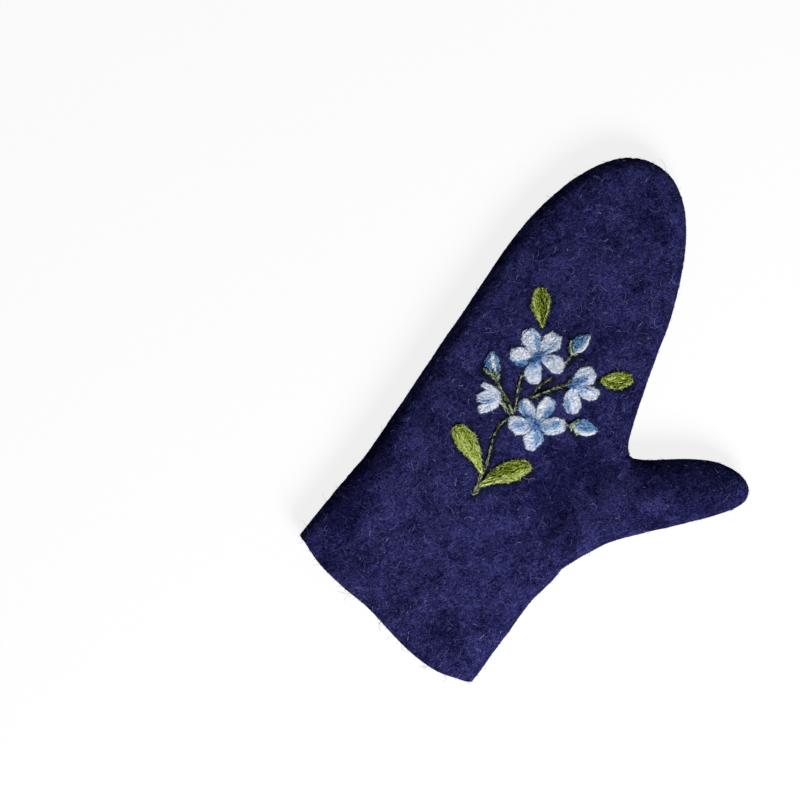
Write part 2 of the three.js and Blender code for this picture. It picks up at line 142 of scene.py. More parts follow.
# Uniform Catmull-Rom curve through the points, its ends doubled, at each u from 0 to the last. A
# tangent is kept to 1.5 times its own chord, so that a short stretch doesn't loop.
def splineAt(points, u):
    p = np.asarray(points, float)
    i = np.clip(np.floor(u).astype(int), 0, len(p) - 2)
    w = (u - i)[..., None]
    p0, p1, p2, p3 = p[np.maximum(i - 1, 0)], p[i], p[i + 1], p[np.minimum(i + 2, len(p) - 1)]
    most = 1.5 * np.linalg.norm(p2 - p1, axis=-1, keepdims=True)
    v0, v1 = (v * np.minimum(1, most / np.maximum(np.linalg.norm(v, axis=-1, keepdims=True), 1e-9))
              for v in ((p2 - p0) / 2, (p3 - p1) / 2))
    return (2 * p1 - 2 * p2 + v0 + v1) * w ** 3 + (3 * p2 - 3 * p1 - 2 * v0 - v1) * w ** 2 + v0 * w + p1


# Left and right edge of the outline at u. Past the last row both run to the tip: the middle moves
# straight to it, the half width shrinks by (1 - taper t) (1 - t^bend)^round, and the right one
# by slim sin(pi t) more.
def edgesAt(rows, tip, u):
    u = np.asarray(u, float)
    last = len(rows) - 1
    left, right = splineAt(rows[:, 0:2], np.minimum(u, last)), splineAt(rows[:, 2:4], np.minimum(u, last))
    t = np.clip(u - last, 0, 1)[..., None]
    middle = mixOf((left + right) / 2, np.array([tip["x"], tip["y"]]), t)
    shrink = (1 - tip["taper"] * t) * np.maximum(1 - t ** tip["bend"], 0) ** tip["round"]
    half = (right - left) / 2 * shrink
    slim = 1 - tip["slim"] * np.sin(np.pi * t)
    return np.where(t > 0, middle - half, left), np.where(t > 0, middle + half * slim, right)


# Inward normal of one edge: its direction over a short step of u, turned a quarter turn.
def inwardAt(rows, tip, side, u):
    u, end = np.asarray(u, float), len(rows)
    both = []
    for s in (0, 1):
        a = edgesAt(rows, tip, np.maximum(u - 0.01, 0))[s]
        b = edgesAt(rows, tip, np.minimum(u + 0.01, end))[s]
        d = unit(b - a)
        both.append(np.stack([d[..., 1], -d[..., 0]], -1) * (1 if s == 0 else -1))
    return np.where((u >= end)[..., None], unit(both[0] + both[1]), both[side])


def gaussians(table, x, y):     # sum of rise exp(-(along/long)^2 - (across/wide)^2)
    total = np.zeros(np.broadcast(x, y).shape)
    for gx, gy, long, wide, turn, rise in table:
        c, s = directionOf(turn)
        total += rise * np.exp(-(((x - gx) * c + (y - gy) * s) / long) ** 2
                               - (((y - gy) * c - (x - gx) * s) / wide) ** 2)
    return total


def backHeight(x, y):       # the plain height and the broad rises
    return felt["plainHeight"] + gaussians(broadRelief, x, y)


def visibleHeight(x, y):    # and the soft dents
    return backHeight(x, y) + gaussians(softRelief, x, y)


# How far a cross-line of the hand sags towards the arm at u, at the fraction f across.
def sagAt(u, f):
    u, f = np.broadcast_arrays(np.asarray(u, float), np.asarray(f, float))
    last = len(handRows) - 1
    bow = np.interp(u, np.arange(last + 1), handRows[:, 4])
    left, right = edgesAt(handRows, handTip, u)
    down = unit(np.stack([right[..., 1] - left[..., 1], left[..., 0] - right[..., 0]], -1))
    wave = splineAt(hemWave, np.clip(f, 0, 1) * (len(hemWave) - 1))[..., 1]
    return down * (bow * wave)[..., None]


# Values of u that cut a strip into steps of about the given length, evenly round the tip.
def stationsOf(rows, step, tip, seamSteps=None):
    parts = [[0.0]]
    for i, move in enumerate(np.diff(rows[:, :4], axis=0)):
        span = max(np.hypot(*move[:2]), np.hypot(*move[2:]))
        n = seamSteps if seamSteps and i == felt["seamRow"] else max(int(np.ceil(span / step)), 2)
        parts.append(i + np.arange(1, n + 1) / n)
    arc = np.hypot(tip["x"] - rows[-1, 0::2][:2].mean(), tip["y"] - rows[-1, 1:4:2].mean())
    half = np.hypot(*(rows[-1, 2:4] - rows[-1, 0:2])) / 2
    n = int(np.ceil(0.62 * (arc + half) / step))
    parts.append(len(rows) - 1 + np.sin(np.arange(1, n + 1) / n * np.pi / 2))
    return np.concatenate(parts)


# One skin of the mitten as patches, each a grid of points with their share of the full height.
# A band runs round the edge: depth goes from the inset to the edge's reach by 1 - cos, the share
# by sin. The middle is ruled straight between the two bands, and bows with the cross-line.
def skinPatches(inset, step, columns, edgeSteps, seamSteps):
    angle = np.linspace(0, np.pi / 2, edgeSteps + 1)
    depth, share = mixOf(inset, felt["edgeReach"], 1 - np.cos(angle)), np.sin(angle)
    hand, thumb = (handRows, handTip), (thumbRows, thumbTip)
    seam = felt["seamRow"]

    def band(strip, side, u, normals, sags):    # edge + normal x depth, with its sag
        left, right = edgesAt(*strip, u)
        width = np.maximum(np.linalg.norm(right - left, axis=-1), 1)[:, None]
        f = depth[None] / width if side == 0 else 1 - depth[None] / width
        plan = (left if side == 0 else right)[:, None] + normals[:, None] * depth[None, :, None]
        if sags:
            plan = plan + sagAt(u[:, None], f)
        return np.dstack([plan, np.broadcast_to(share, plan.shape[:2])])

    # normals of an edge that turn from a to b, where they are asked to, as t goes from 0 to 1
    def turning(strip, side, u, there, a, b, t):
        t = np.clip(t, 0, 1)[:, None]
        return np.where(there[:, None], unit(mixOf(a, b, t * t * (3 - 2 * t))), inwardAt(*strip, side, u))

    def middle(a, b, k):    # straight lines from the points a to the points b
        plan = mixOf(a[:, None, :2], b[:, None, :2], k[None, :, None])
        return np.dstack([plan, np.ones(plan.shape[:2])])

    out = unit(edgesAt(*thumb, 0.25)[0] - edgesAt(*hand, seam + 1.25)[1])
    webNormal = np.array([out[1], -out[0]])
    rootNormal = unit(inwardAt(*hand, 1, float(seam)) + inwardAt(*thumb, 1, 0.0))

    u = stationsOf(handRows, step, handTip, seamSteps)
    below, above = u[u <= seam], u[u >= seam + 1]
    handLeft = band(hand, 0, u, inwardAt(*hand, 0, u), True)
    lowNormals = turning(hand, 1, below, below > seam - 0.5,
                         inwardAt(*hand, 1, seam - 0.5), rootNormal, (below - seam) * 2 + 1)
    highNormals = turning(hand, 1, above, above < seam + 2,
                          webNormal, inwardAt(*hand, 1, seam + 2.0), above - seam - 1)
    handLow, handHigh = band(hand, 1, below, lowNormals, True), band(hand, 1, above, highNormals, True)
    k = np.linspace(0, 1, seamSteps + 1)
    seamPoints = mixOf(handLow[-1, -1][None], handHigh[0, -1][None], k[:, None])
    rightEnds = np.concatenate([handLow[:, -1], seamPoints[1:-1], handHigh[:, -1]])

    across = np.linspace(0, 1, columns + 1)
    left, right = edgesAt(*hand, u)
    reach = felt["edgeReach"] / np.maximum(np.linalg.norm(right - left, axis=-1), 2 * felt["edgeReach"])
    handMiddle = middle(handLeft[:, -1], rightEnds, across)
    first, last = sagAt(u, reach)[:, None], sagAt(u, 1 - reach)[:, None]
    bend = sagAt(u[:, None], mixOf(reach[:, None], 1 - reach[:, None], across[None]))
    handMiddle[..., :2] += bend - mixOf(first, last, across[None, :, None])
    handMiddle[:, 0], handMiddle[:, -1] = handLeft[:, -1], rightEnds

    v = stationsOf(thumbRows, step, thumbTip)
    thumbLeft, thumbRight = (
        band(thumb, side, v, turning(thumb, side, v, v < 1, start, inwardAt(*thumb, side, 1.0), v), False)
        for side, start in ((0, webNormal), (1, rootNormal)))
    thumbLeft[0], thumbRight[0], thumbRight[-1] = handHigh[0], handLow[-1], thumbLeft[-1]
    thumbMiddle = middle(thumbLeft[:, -1], thumbRight[:, -1], k)
    return [(handLeft, False), (handMiddle, False), (handLow, True), (handHigh, True),
            (thumbLeft, False), (thumbMiddle, False), (thumbRight, True)]


# Faces of a grid of points, as quads of their numbers. They point up where rows run to the
# fingertips and columns to the right, and turned says that they point the other way.
def gridFaces(rows, columns, turned, start=0):
    i = start + np.arange(rows * columns).reshape(rows, columns)
    quads = np.stack([i[:-1, :-1], i[:-1, 1:], i[1:, 1:], i[1:, :-1]], -1).reshape(-1, 4)
    return quads[:, ::-1] if turned else quads


def addObject(name, data):
    thing = bpy.data.objects.new(name, data)
    bpy.context.scene.collection.objects.link(thing)
    return thing


def setMark(mesh, mark, values):    # one value for each point, for a material to read
    data = mesh.attributes.new(mark, "FLOAT", "POINT").data
    data.foreach_set("value", np.asarray(values, np.float32).ravel())


# Adds a piece from its points in mm and its faces, arrays of point numbers. weld makes one point
# of those that lie on one another.
def addMesh(name, points, faces, material, marks={}, weld=False):
    mesh = bpy.data.meshes.new(name)
    mesh.vertices.add(len(points))
    mesh.vertices.foreach_set("co", (np.asarray(points) * mm).ravel())
    sizes = np.concatenate([np.full(len(f), f.shape[1]) for f in faces])
    corners = np.concatenate([f.ravel() for f in faces])
    mesh.loops.add(len(corners))
    mesh.loops.foreach_set("vertex_index", corners.astype(np.int32))
    mesh.polygons.add(len(sizes))
    mesh.polygons.foreach_set("loop_start", np.concatenate([[0], np.cumsum(sizes)[:-1]]).astype(np.int32))
    mesh.polygons.foreach_set("use_smooth", np.ones(len(sizes), bool))
    mesh.update(calc_edges=True)
    for mark, values in marks.items():
        setMark(mesh, mark, values)
    if weld:
        work = bmesh.new()
        work.from_mesh(mesh)
        bmesh.ops.remove_doubles(work, verts=work.verts, dist=2e-7)
        work.to_mesh(mesh)
        work.free()
    mesh.validate()
    mesh.materials.append(material)
    return addObject(name, mesh)


def readMesh(thing):        # its points in mm, and their normals
    n = len(thing.data.vertices)
    co, normals = np.empty(n * 3), np.empty(n * 3, np.float32)
    thing.data.vertices.foreach_get("co", co)
    thing.data.vertices.foreach_get("normal", normals)
    return co.reshape(-1, 3) / mm, normals.reshape(-1, 3).astype(float)


def linear(hexColour):      # sRGB hex to linear, with full alpha
    c = np.array([int(hexColour[i:i + 2], 16) for i in (1, 3, 5)]) / 255
    c = np.where(c <= 0.04045, c / 12.92, ((c + 0.055) / 1.055) ** 2.4)
    return (*[float(v) for v in c], 1.0)


# Feeds a node's sockets. Each source is a value, a socket, or a node, which gives its first
# output in use.
def feed(n, inputs):
    for key, source in inputs.items():
        if isinstance(source, bpy.types.Node):
            source = next(out for out in source.outputs if out.enabled)
        if isinstance(source, bpy.types.NodeSocket):
            n.id_data.links.new(source, n.inputs[key])
        else:
            n.inputs[key].default_value = source


# Adds one node: settings are its attributes, inputs its sockets, and stops the places and hex
# colours of a ramp.
def node(tree, kind, settings={}, inputs={}, stops=()):
    n = tree.nodes.new("ShaderNode" + kind)
    for key, value in settings.items():
        setattr(n, key, value)
    feed(n, inputs)
    for k, (place, colour) in enumerate(stops):
        line = n.color_ramp.elements
        element = line[k] if k < 2 else line.new(place)
        element.position, element.color = place, linear(colour)
    return n


# A material fed with its shader's values, with that shader and a node function for its own tree.
def newMaterial(name, sockets):
    material = bpy.data.materials.new(name)
    material.use_nodes = True
    shader = material.node_tree.nodes["Principled BSDF"]
    feed(shader, sockets)
    return material, shader, partial(node, material.node_tree)


def wool(roughness, sheen, sheenTint):      # wool scatters, and hardly mirrors
    return {"Roughness": roughness, "Specular IOR Level": 0.012, "Sheen Weight": sheen,
            "Sheen Roughness": 0.5, "Sheen Tint": linear(sheenTint)}


timesPlus = {"operation": "MULTIPLY_ADD"}
smooth = {"interpolation_type": "SMOOTHSTEP"}


# Wet-felted merino, dyed navy: matted curly fibres that scatter all light, so it is matt, with
# clouds of lighter and darker dye, and fibres that catch the light in thin curls. Merino is
# 0.02 mm thick, too fine to show, so the curls are drawn about 0.2 mm wide. The deep mark paints
# shade and light on it, and the dark ring round the spray is partly painted shade.
def feltMaterial():
    look = {
        "cloud": 12.0, "clump": 3.6, "grain": 0.95,                 # mm
        "fibreLong": 3.6, "fibreWide": 1.05, "fibreWarp": 2.6,      # mm
        "fibreTurns": (10, 57, 101, 149), "fibreThin": 0.055,       # degrees, share of the noise
        "dyeSpread": (1.33, 2.07),                                  # the darkest and the lightest shade
        "dark": "#020226", "plain": "#0f103a", "light": "#1e1f50",
        # the dark ring round the spray, partly pressed wool and partly painted shade, is near black green
        "fibre": "#49498a", "fibreShare": 0.66, "needled": "#121516", "needledAndShadedShare": 0.85,
        "feather": "#43538a", "featherShare": 0.5, "bump": 0.32,
    }
    material, shader, add = newMaterial("wetFeltedNavyMerino", wool(0.95, 0.02, "#8f8cc4"))
    place = add("TexCoord").outputs["Object"]
    deep, needled, feather = (add("Attribute", {"attribute_name": mark}).outputs["Fac"]
                              for mark in ("deep", "needled", "feather"))
    cloud, clump, grain = (
        add("TexNoise", {}, {"Vector": place, "Scale": 1 / (look[key] * mm), "Detail": 2.0, "Roughness": 0.6})
        for key in ("cloud", "clump", "grain"))
    moved = add("VectorMath", timesPlus, {
        0: clump.outputs["Color"], 1: (look["fibreWarp"] * mm,) * 3, 2: place})
    fibres = 0.0
    for k, turn in enumerate(look["fibreTurns"]):      # curls that mostly run one way, four times
        long, wide = look["fibreLong"] * mm, look["fibreWide"] * mm
        laid = add("Mapping", {"vector_type": "TEXTURE"}, {
            "Vector": moved, "Location": (0.013 * k, 0.007 * k, 0), "Rotation": (0, 0, np.radians(turn)),
            "Scale": (long, wide, wide)})
        waves = add("TexNoise", {}, {"Vector": laid, "Scale": 1.0, "Detail": 1.0, "Roughness": 0.5})
        ridge = add("Math", {"operation": "PINGPONG"}, {0: waves, 1: 0.5})
        line = add("MapRange", smooth, {
            "Value": ridge, "From Min": 0.5 - look["fibreThin"], "From Max": 0.5})
        fibres = add("Math", {}, {0: fibres, 1: line})
    shade = grain
    # the shade mixes random clouds of dye with the deep mark, which is painted shade and light
    for source, share in ((clump, 0.9), (cloud, 1.5), (deep, -0.9)):
        shade = add("Math", timesPlus, {0: source, 1: share, 2: shade})
    low, high = look["dyeSpread"]
    spread = add("MapRange", {}, {"Value": shade, "From Min": low, "From Max": high})
    colour = add("ValToRGB", {}, {"Fac": spread}, [
        (0.0, look["dark"]), (0.5, look["plain"]), (1.0, look["light"])])
    most = look["fibreShare"]
    patchy = add("MapRange", {}, {"Value": spread, "To Min": 0.25 * most, "To Max": most})
    # over the dye lie the curls, the dark ring round the spray, partly pressed wool and partly
    # painted shade at the spray's foot, and what strays off it
    for mark, there, share in (("fibre", fibres, patchy), ("needled", needled, look["needledAndShadedShare"]),
                               ("feather", feather, look["featherShare"])):
        part = add("Math", {"operation": "MULTIPLY", "use_clamp": True}, {0: there, 1: share})
        colour = add("Mix", {"data_type": "RGBA"}, {"Factor": part, "A": colour, "B": linear(look[mark])})
    height = add("Math", timesPlus, {0: fibres, 1: 0.6, 2: shade})
    bump = add("Bump", {}, {"Height": height, "Strength": 0.9, "Distance": look["bump"] * mm})
    feed(shader, {"Base Color": colour, "Normal": bump})
    return material


# Loose merino fibres on the surface. Each carries its own shade, from navy to the lavender that
# the light makes of a single fibre.
def fuzzMaterial():
    material, shader, add = newMaterial("looseMerinoFibres", wool(0.9, 0.02, "#a9a8e0"))
    shade = add("Attribute", {"attribute_name": "shade"}).outputs["Fac"]
    tone = add("TexNoise", {}, {"Vector": add("TexCoord").outputs["Object"], "Scale": 900.0, "Detail": 1.0})
    both = add("Math", timesPlus, {0: tone, 1: 0.16, 2: shade})
    feed(shader, {"Base Color": add("ValToRGB", {}, {"Fac": both}, [
        (0.08, "#08082b"), (0.38, "#1f2053"), (0.62, "#42437f"), (0.82, "#6d6eab"), (1.0, "#a7a8da")])})
    return material


stabSize, stabDepth = 0.8, 0.35     # mm


# Needle-felted wool: short strands stabbed into the felt, so it is matt and mottled. The dye mark
# picks the colour. A noise drawn out along the strands adds broken streaks, and a round one the
# needle's holes, a bit under 1 mm apart, where the wool sinks. The holes dent the bump and darken
# the colour: partly the deeper wool below, partly painted shade in the hollows. The colour may fade
# towards the border.
def needledMaterial(name, stops, sheenTint, streak, pitShade, fade=0.0):
    material, shader, add = newMaterial(name, wool(0.94, 0.06, sheenTint))
    dye, along, across, border = (add("Attribute", {"attribute_name": mark}).outputs["Fac"]
                                  for mark in ("dye", "along", "across", "border"))
    lengthwise = add("CombineXYZ", {}, {"X": along, "Y": across})
    strands = add("TexNoise", {}, {
        "Vector": lengthwise, "Scale": 1.3, "Detail": 3.0, "Roughness": 0.7, "Distortion": 0.6})
    stabs = add("TexNoise", {}, {"Vector": add("TexCoord").outputs["Object"],
                                 "Scale": 1 / (stabSize * mm), "Detail": 1.0, "Roughness": 0.6})
    pit = add("MapRange", smooth, {"Value": stabs, "From Min": 0.50, "From Max": 0.33})
    streaks = add("MapRange", {"clamp": False}, {
        "Value": strands, "From Min": 0.3, "From Max": 0.7, "To Min": -streak, "To Max": streak})
    streaked = add("Math", {}, {0: dye, 1: streaks})
    # the holes' darker dye is partly deeper wool and partly painted shade in the needle's hollows
    pitted = add("Math", timesPlus, {0: pit, 1: pitShade, 2: streaked})
    kept = add("Math", timesPlus, {0: border, 1: -fade, 2: 1.0})
    colour = add("HueSaturation", {}, {
        "Saturation": kept, "Color": add("ValToRGB", {}, {"Fac": pitted}, stops)})
    height = add("Math", timesPlus, {0: pit, 1: -1.0, 2: strands})
    bump = add("Bump", {}, {"Height": height, "Strength": 0.9, "Distance": stabDepth * mm})
    feed(shader, {"Base Color": colour, "Normal": bump})
    return material


print("materials")
navyFelt = feltMaterial()
navyFuzz = fuzzMaterial()
petalWool = needledMaterial("needledPaleBlueWool", [
    (0.0, "#f3f5ff"), (0.2, "#e1e8f8"), (0.4, "#b9cde9"),
    (0.6, "#7da6d5"), (0.8, "#427ab8"), (1.0, "#193c78")],
    "#ffffff", streak=0.15, pitShade=0.22)
budWool = needledMaterial("needledMidBlueWool", [
    (0.0, "#f4f8ff"), (0.25, "#c6d8ee"), (0.5, "#82add9"), (0.75, "#3c73b0"), (1.0, "#152f5e")],
    "#e6f0ff", streak=0.26, pitShade=0.35)
leafWool = needledMaterial("needledYellowGreenWool", [
    (0.0, "#e6ee9c"), (0.25, "#c0d254"), (0.5, "#8ca234"), (0.75, "#4b6018"), (1.0, "#121c0a")],
    "#f2ffb0", streak=0.42, pitShade=0.38, fade=0.55)
stemWool = needledMaterial("needledOliveStrands", [
    (0.0, "#d3dcc0"), (0.3, "#99a681"), (0.6, "#46533f"), (1.0, "#080d0c")],
    "#e4efc0", streak=0.36, pitShade=0.6)
calyxWool = needledMaterial("needledGreenStrands", [
    (0.0, "#e8f4e6"), (0.3, "#aec69a"), (0.6, "#456446"), (1.0, "#06110f")],
    "#e4efc0", streak=0.36, pitShade=0.6)

# What each kind of patch is made of, in mm where nothing else is said. thick is its height over
# the felt, slope the power by which it rises from its border, and reach how far it runs on under
# the flower's middle. Then come the counts of its strands: curls along its border, banded ones
# along its streak, lengthwise ones over a share run of it, tangled ones and frayed ones. radius is
# that of a strand. stray and unruly are how far curls and tangled strands turn off, in radians.
# under is how much darker the wool below is, partly deeper wool and partly painted shade in the
# gaps between the strands, edge how much darker the border below is, tips how much darker the
# frayed strands are, and mixed how much the strands' dye differs. fray is the frayed strands'
# reach, and beyond their height past the border.
patchKinds = {
    "petal": {"wool": petalWool, "slot": "petal_wool", "thick": 0.95, "slope": 0.6, "reach": 0.9,
              "curls": 120, "banded": 26, "lengthwise": 40, "tangled": 110, "frayed": 175, "radius": 0.15,
              "run": (0.07, 0.14), "stray": 0.7, "unruly": 0.7, "under": 0.08, "edge": 0.42, "tips": 0.30,
              "mixed": 0.08, "fray": (0.4, 1.2), "beyond": 0.18},
    "leaf": {"wool": leafWool, "slot": "leaf_wool", "thick": 1.05, "slope": 0.5, "reach": 0.8,
             "curls": 220, "banded": 36, "lengthwise": 120, "tangled": 40, "frayed": 170, "radius": 0.16,
             "run": (0.10, 0.22), "stray": 0.6, "unruly": 0.5, "under": 0.30, "edge": 0.46, "tips": -0.14,
             "mixed": 0.24, "fray": (0.6, 1.8), "beyond": 0.24},
    "bud": {"wool": budWool, "slot": "bud_wool", "thick": 1.05, "slope": 0.55, "reach": 0.4,
            "curls": 60, "banded": 44, "lengthwise": 90, "tangled": 30, "frayed": 60, "radius": 0.15,
            "run": (0.12, 0.26), "stray": 0.6, "unruly": 0.4, "under": 0.12, "edge": 0.36, "tips": 0.28,
            "mixed": 0.12, "fray": (0.3, 0.8), "beyond": 0.12},
    "eye": {"wool": petalWool, "slot": "eye_wool", "thick": 1.35, "slope": 0.4, "reach": 0.0,
            "curls": 10, "banded": 8, "lengthwise": 30, "tangled": 60, "frayed": 120, "radius": 0.14,
            "run": (0.1, 0.2), "stray": 0.7, "unruly": 0.9, "under": 0.06, "edge": 0.0, "tips": 0.0,
            "mixed": 0.14, "fray": (0.6, 1.8), "beyond": 1.0},
}
sinkDepth = 0.5         # the visible wool is stabbed this far into the felt, mm
# A patch is a petal, eye, leaf or bud. It starts at x, y, points along turn, and its length and
# its half widths, left and right, at five places from root to tip are in mm. The look is the base
# and rim dye, the streak's side, width and dye, the dye at the root, how far that reaches, and
# where along the patch the streak has its middle, and how long it is.
patchRows = [
    ("petal_upper_1", -6.0, 57.9, 135, 14.0, (1.0, 3.2, 4.3, 5.2, 3.6), (0.9, 2.9, 4.1, 4.3, 2.7),
     (0.12, 0.02, -0.6, 0.38, 0.66, 0.7, 0.18, 0.4, 0.5)),
    ("petal_upper_2", -4.6, 58.4, 76, 13.5, (1.0, 2.8, 4.3, 4.7, 3.2), (1.0, 2.3, 3.9, 4.9, 2.9),
     (0.08, 0.0, -0.34, 0.34, 0.6, 0.92, 0.22, 0.38, 0.45)),
    ("petal_upper_3", -3.7, 57.5, -4, 12.3, (1.2, 3.3, 4.9, 5.1, 3.7), (0.8, 2.0, 2.8, 3.4, 2.4),
     (0.13, 0.0, 0.56, 0.24, 0.66, 0.7, 0.16, 0.25, 0.4)),
    ("petal_upper_4", -5.0, 55.4, -74, 11.7, (1.5, 2.4, 2.7, 3.2, 2.8), (0.9, 3.7, 5.1, 5.3, 3.0),
     (0.14, 0.0, -0.1, 0.36, 0.4, 0.76, 0.3, 0.1, 0.35)),
    ("petal_upper_5", -6.1, 56.6, -158, 13.2, (1.1, 3.0, 4.6, 4.8, 2.2), (1.0, 2.5, 4.3, 4.6, 3.4),
     (0.03, 0, 0.74, 0.36, 0.8, 0.76, 0.2, 0.45, 0.6)),
    ("petal_lower_1", 6.8, 26.8, 140, 12.8, (0.6, 1.9, 3.5, 4.2, 2.8), (1.1, 2.9, 3.6, 3.5, 2.2),
     (0.06, 0.04, 0.58, 0.56, 0.74, 0.92, 0.3, 0.5, 0.58)),
    ("petal_lower_2", 8.5, 27.6, 89, 14.2, (1.0, 2.5, 3.4, 3.4, 2.3), (0.9, 2.3, 3.9, 4.4, 3.5),
     (0.04, 0.0, -0.66, 0.48, 0.8, 0.66, 0.18, 0.5, 0.5)),
    ("petal_lower_3", 9.7, 26.7, 26, 13.6, (1.0, 2.7, 3.6, 3.9, 2.9), (1.4, 3.9, 4.6, 4.3, 2.8),
     (0.12, -0.08, 0.05, 0.5, 0.64, 0.7, 0.22, 0.5, 0.36)),
    ("petal_lower_4", 9.0, 25.3, -76, 11.7, (1.8, 3.9, 4.7, 3.9, 1.7), (0.7, 3.2, 4.9, 4.9, 2.9),
     (0.05, 0.0, 0.46, 0.52, 0.68, 0.76, 0.24, 0.4, 0.58)),
    ("petal_lower_5", 7.0, 25.7, -158, 12.3, (1.6, 4.3, 5.4, 4.9, 2.4), (0.7, 2.2, 3.3, 3.8, 3.6),
     (0.12, -0.08, 0.05, 0.46, 0.62, 0.74, 0.18, 0.58, 0.26)),
    ("petal_right_1", 16.1, 52.0, 66, 13.0, (1.6, 2.9, 3.7, 3.8, 2.2), (1.4, 3.1, 4.8, 5.8, 4.2),
     (0.12, -0.08, -0.25, 0.5, 0.58, 0.78, 0.32, 0.32, 0.4)),
    ("petal_right_2", 18.1, 52.4, 6, 12.1, (0.8, 1.7, 2.2, 2.4, 2.1), (1.4, 3.2, 4.3, 4.2, 2.9),
     (0.1, -0.06, 0.38, 0.28, 0.76, 0.7, 0.28, 0.45, 0.32)),
    ("petal_right_3", 17.3, 51.3, -67, 13.0, (1.2, 2.0, 3.4, 3.8, 2.6), (1.3, 3.8, 4.8, 4.8, 3.0),
     (0.08, -0.04, -0.64, 0.3, 0.72, 0.5, 0.16, 0.74, 0.3)),
    ("petal_left_1", -15.0, 32.7, -180, 9.6, (1.2, 1.2, 1.2, 1.1, 0.8), (0.6, 1.3, 1.7, 1.8, 1.4),
     (0.12, 0.04, 0.3, 0.5, 0.4, 0.46, 0.14, 0.7, 0.4)),
    ("petal_left_2", -14.2, 31.1, -150, 11.2, (0.9, 2.1, 2.7, 2.8, 2.0), (1.6, 3.2, 3.7, 3.1, 1.8),
     (0.14, 0.02, 0.66, 0.36, 0.68, 0.26, 0.12, 0.6, 0.45)),
    ("petal_left_3", -13.6, 29.5, -131, 11.3, (1.3, 2.9, 3.2, 3.2, 2.6), (0.5, 0.6, 0.9, 1.3, 1.1),
     (0.06, -0.02, -0.7, 0.44, 0.64, 0.3, 0.12, 0.35, 0.45)),
    ("leaf_top", -10.3, 72.2, 119, 19.0, (0.9, 2.8, 4.9, 4.5, 2.9), (0.5, 2.2, 4.0, 4.7, 2.9),
     (0.66, 0.42, 0.62, 0.32, 0.04, 0.5, 0.14, 0.5, 0.6)),
    ("leaf_right", 28.7, 60.7, 29, 15.0, (1.3, 3.1, 4.0, 3.6, 2.4), (1.5, 3.7, 4.7, 4.0, 2.1),
     (0.56, 0.5, 0.25, 0.3, 0.1, 0.62, 0.12, 0.5, 0.5)),
    ("leaf_left", -5.8, -6.7, 144, 26.5, (0.5, 1.3, 3.5, 4.6, 3.4), (1.2, 3.9, 5.5, 6.1, 3.9),
     (0.27, 0.3, 0.02, 0.34, 0.06, 0.2, 0.16, 0.4, 0.45)),
    ("leaf_low", -2.8, -12.5, 47, 26.4, (1.5, 4.7, 6.3, 6.2, 4.3), (0.5, 1.3, 3.3, 3.7, 2.2),
     (0.52, 0.38, -0.42, 0.42, -0.06, 0.34, 0.14, 0.6, 0.45)),
    ("bud_left", -19.6, 39.3, 125, 12.9, (1.2, 3.2, 5.0, 4.6, 2.2), (0.9, 2.2, 2.5, 2.5, 1.1),
     (0.6, 0.46, 0.1, 0.17, -0.5, 0.6, 0.03, 0.5, 1.1)),
    ("bud_upper", 9.4, 67.1, 72, 11.9, (1.4, 3.8, 4.5, 3.8, 1.4), (1.2, 3.0, 3.1, 2.3, 1.0),
     (0.62, 0.5, -0.78, 0.46, -0.44, 0.68, 0.06, 0.6, 0.75)),
    ("bud_low", 26.2, 33.6, 19, 11.7, (2.4, 4.6, 4.6, 3.1, 1.5), (1.2, 3.1, 3.5, 2.9, 1.7),
     (0.62, 0.5, -0.8, 0.46, -0.42, 0.64, 0.06, 0.7, 0.75)),
    ("eye_upper", -8.7, 52.8, 54, 8.8, (0.5, 0.8, 1.1, 2.2, 1.0), (0.7, 1.8, 2.3, 2.2, 0.8),
     (0.86, 0.72, 0.1, 0.4, 1.0, 0.72, 0.1, 0.5, 0.4)),
    ("eye_lower", 2.3, 28.1, -18, 9.3, (0.6, 1.4, 2.0, 2.5, 1.7), (0.6, 1.6, 2.2, 2.6, 1.8),
     (0.7, 0.66, 0.2, 0.4, 0.86, 0.92, 0.16, 0.85, 0.2)),
    ("eye_right", 14.5, 51.0, 45, 9.7, (0.7, 1.3, 1.4, 0.9, 0.6), (1.4, 2.4, 2.0, 1.2, 0.6),
     (0.68, 0.58, 0.0, 0.4, 0.8, 0.84, 0.2, 0.4, 0.4)),
]
patches = [dict(zip(("name", "x", "y", "turn", "length", "left", "right", "look"), row)) for row in patchRows]
widthPlaces = (0.06, 0.92)      # the half widths stand evenly from the first to the second


def kindName(patch):        # petal of petal_upper_1
    return patch["name"].split("_")[0]


# Half width at t along a patch on one side: a smooth curve through the five half widths, rounded
# off at both ends by sqrt(1 - q^2).
def halfWidthAt(patch, t, side):
    low, high = widthPlaces
    t, side = np.broadcast_arrays(np.clip(t, 0, 1), side)
    both = splineAt(np.stack([patch["left"], patch["right"]], -1),
                    np.clip((t - low) / (high - low), 0, 1) * (len(patch["left"]) - 1))
    half = np.where(side >= 0, both[..., 0], both[..., 1])
    root, tip = np.clip((low - t) / low, 0, 1), np.clip((t - high) / (1 - high), 0, 1)
    return half * np.sqrt(1 - root ** 2) * np.sqrt(1 - tip ** 2)


def patchCoordinates(patch, x, y):      # along in mm and across in mm, seen from the patch's start
    c, s = directionOf(patch["turn"])
    dx, dy = x - patch["x"], y - patch["y"]
    return dx * c + dy * s, dy * c - dx * s


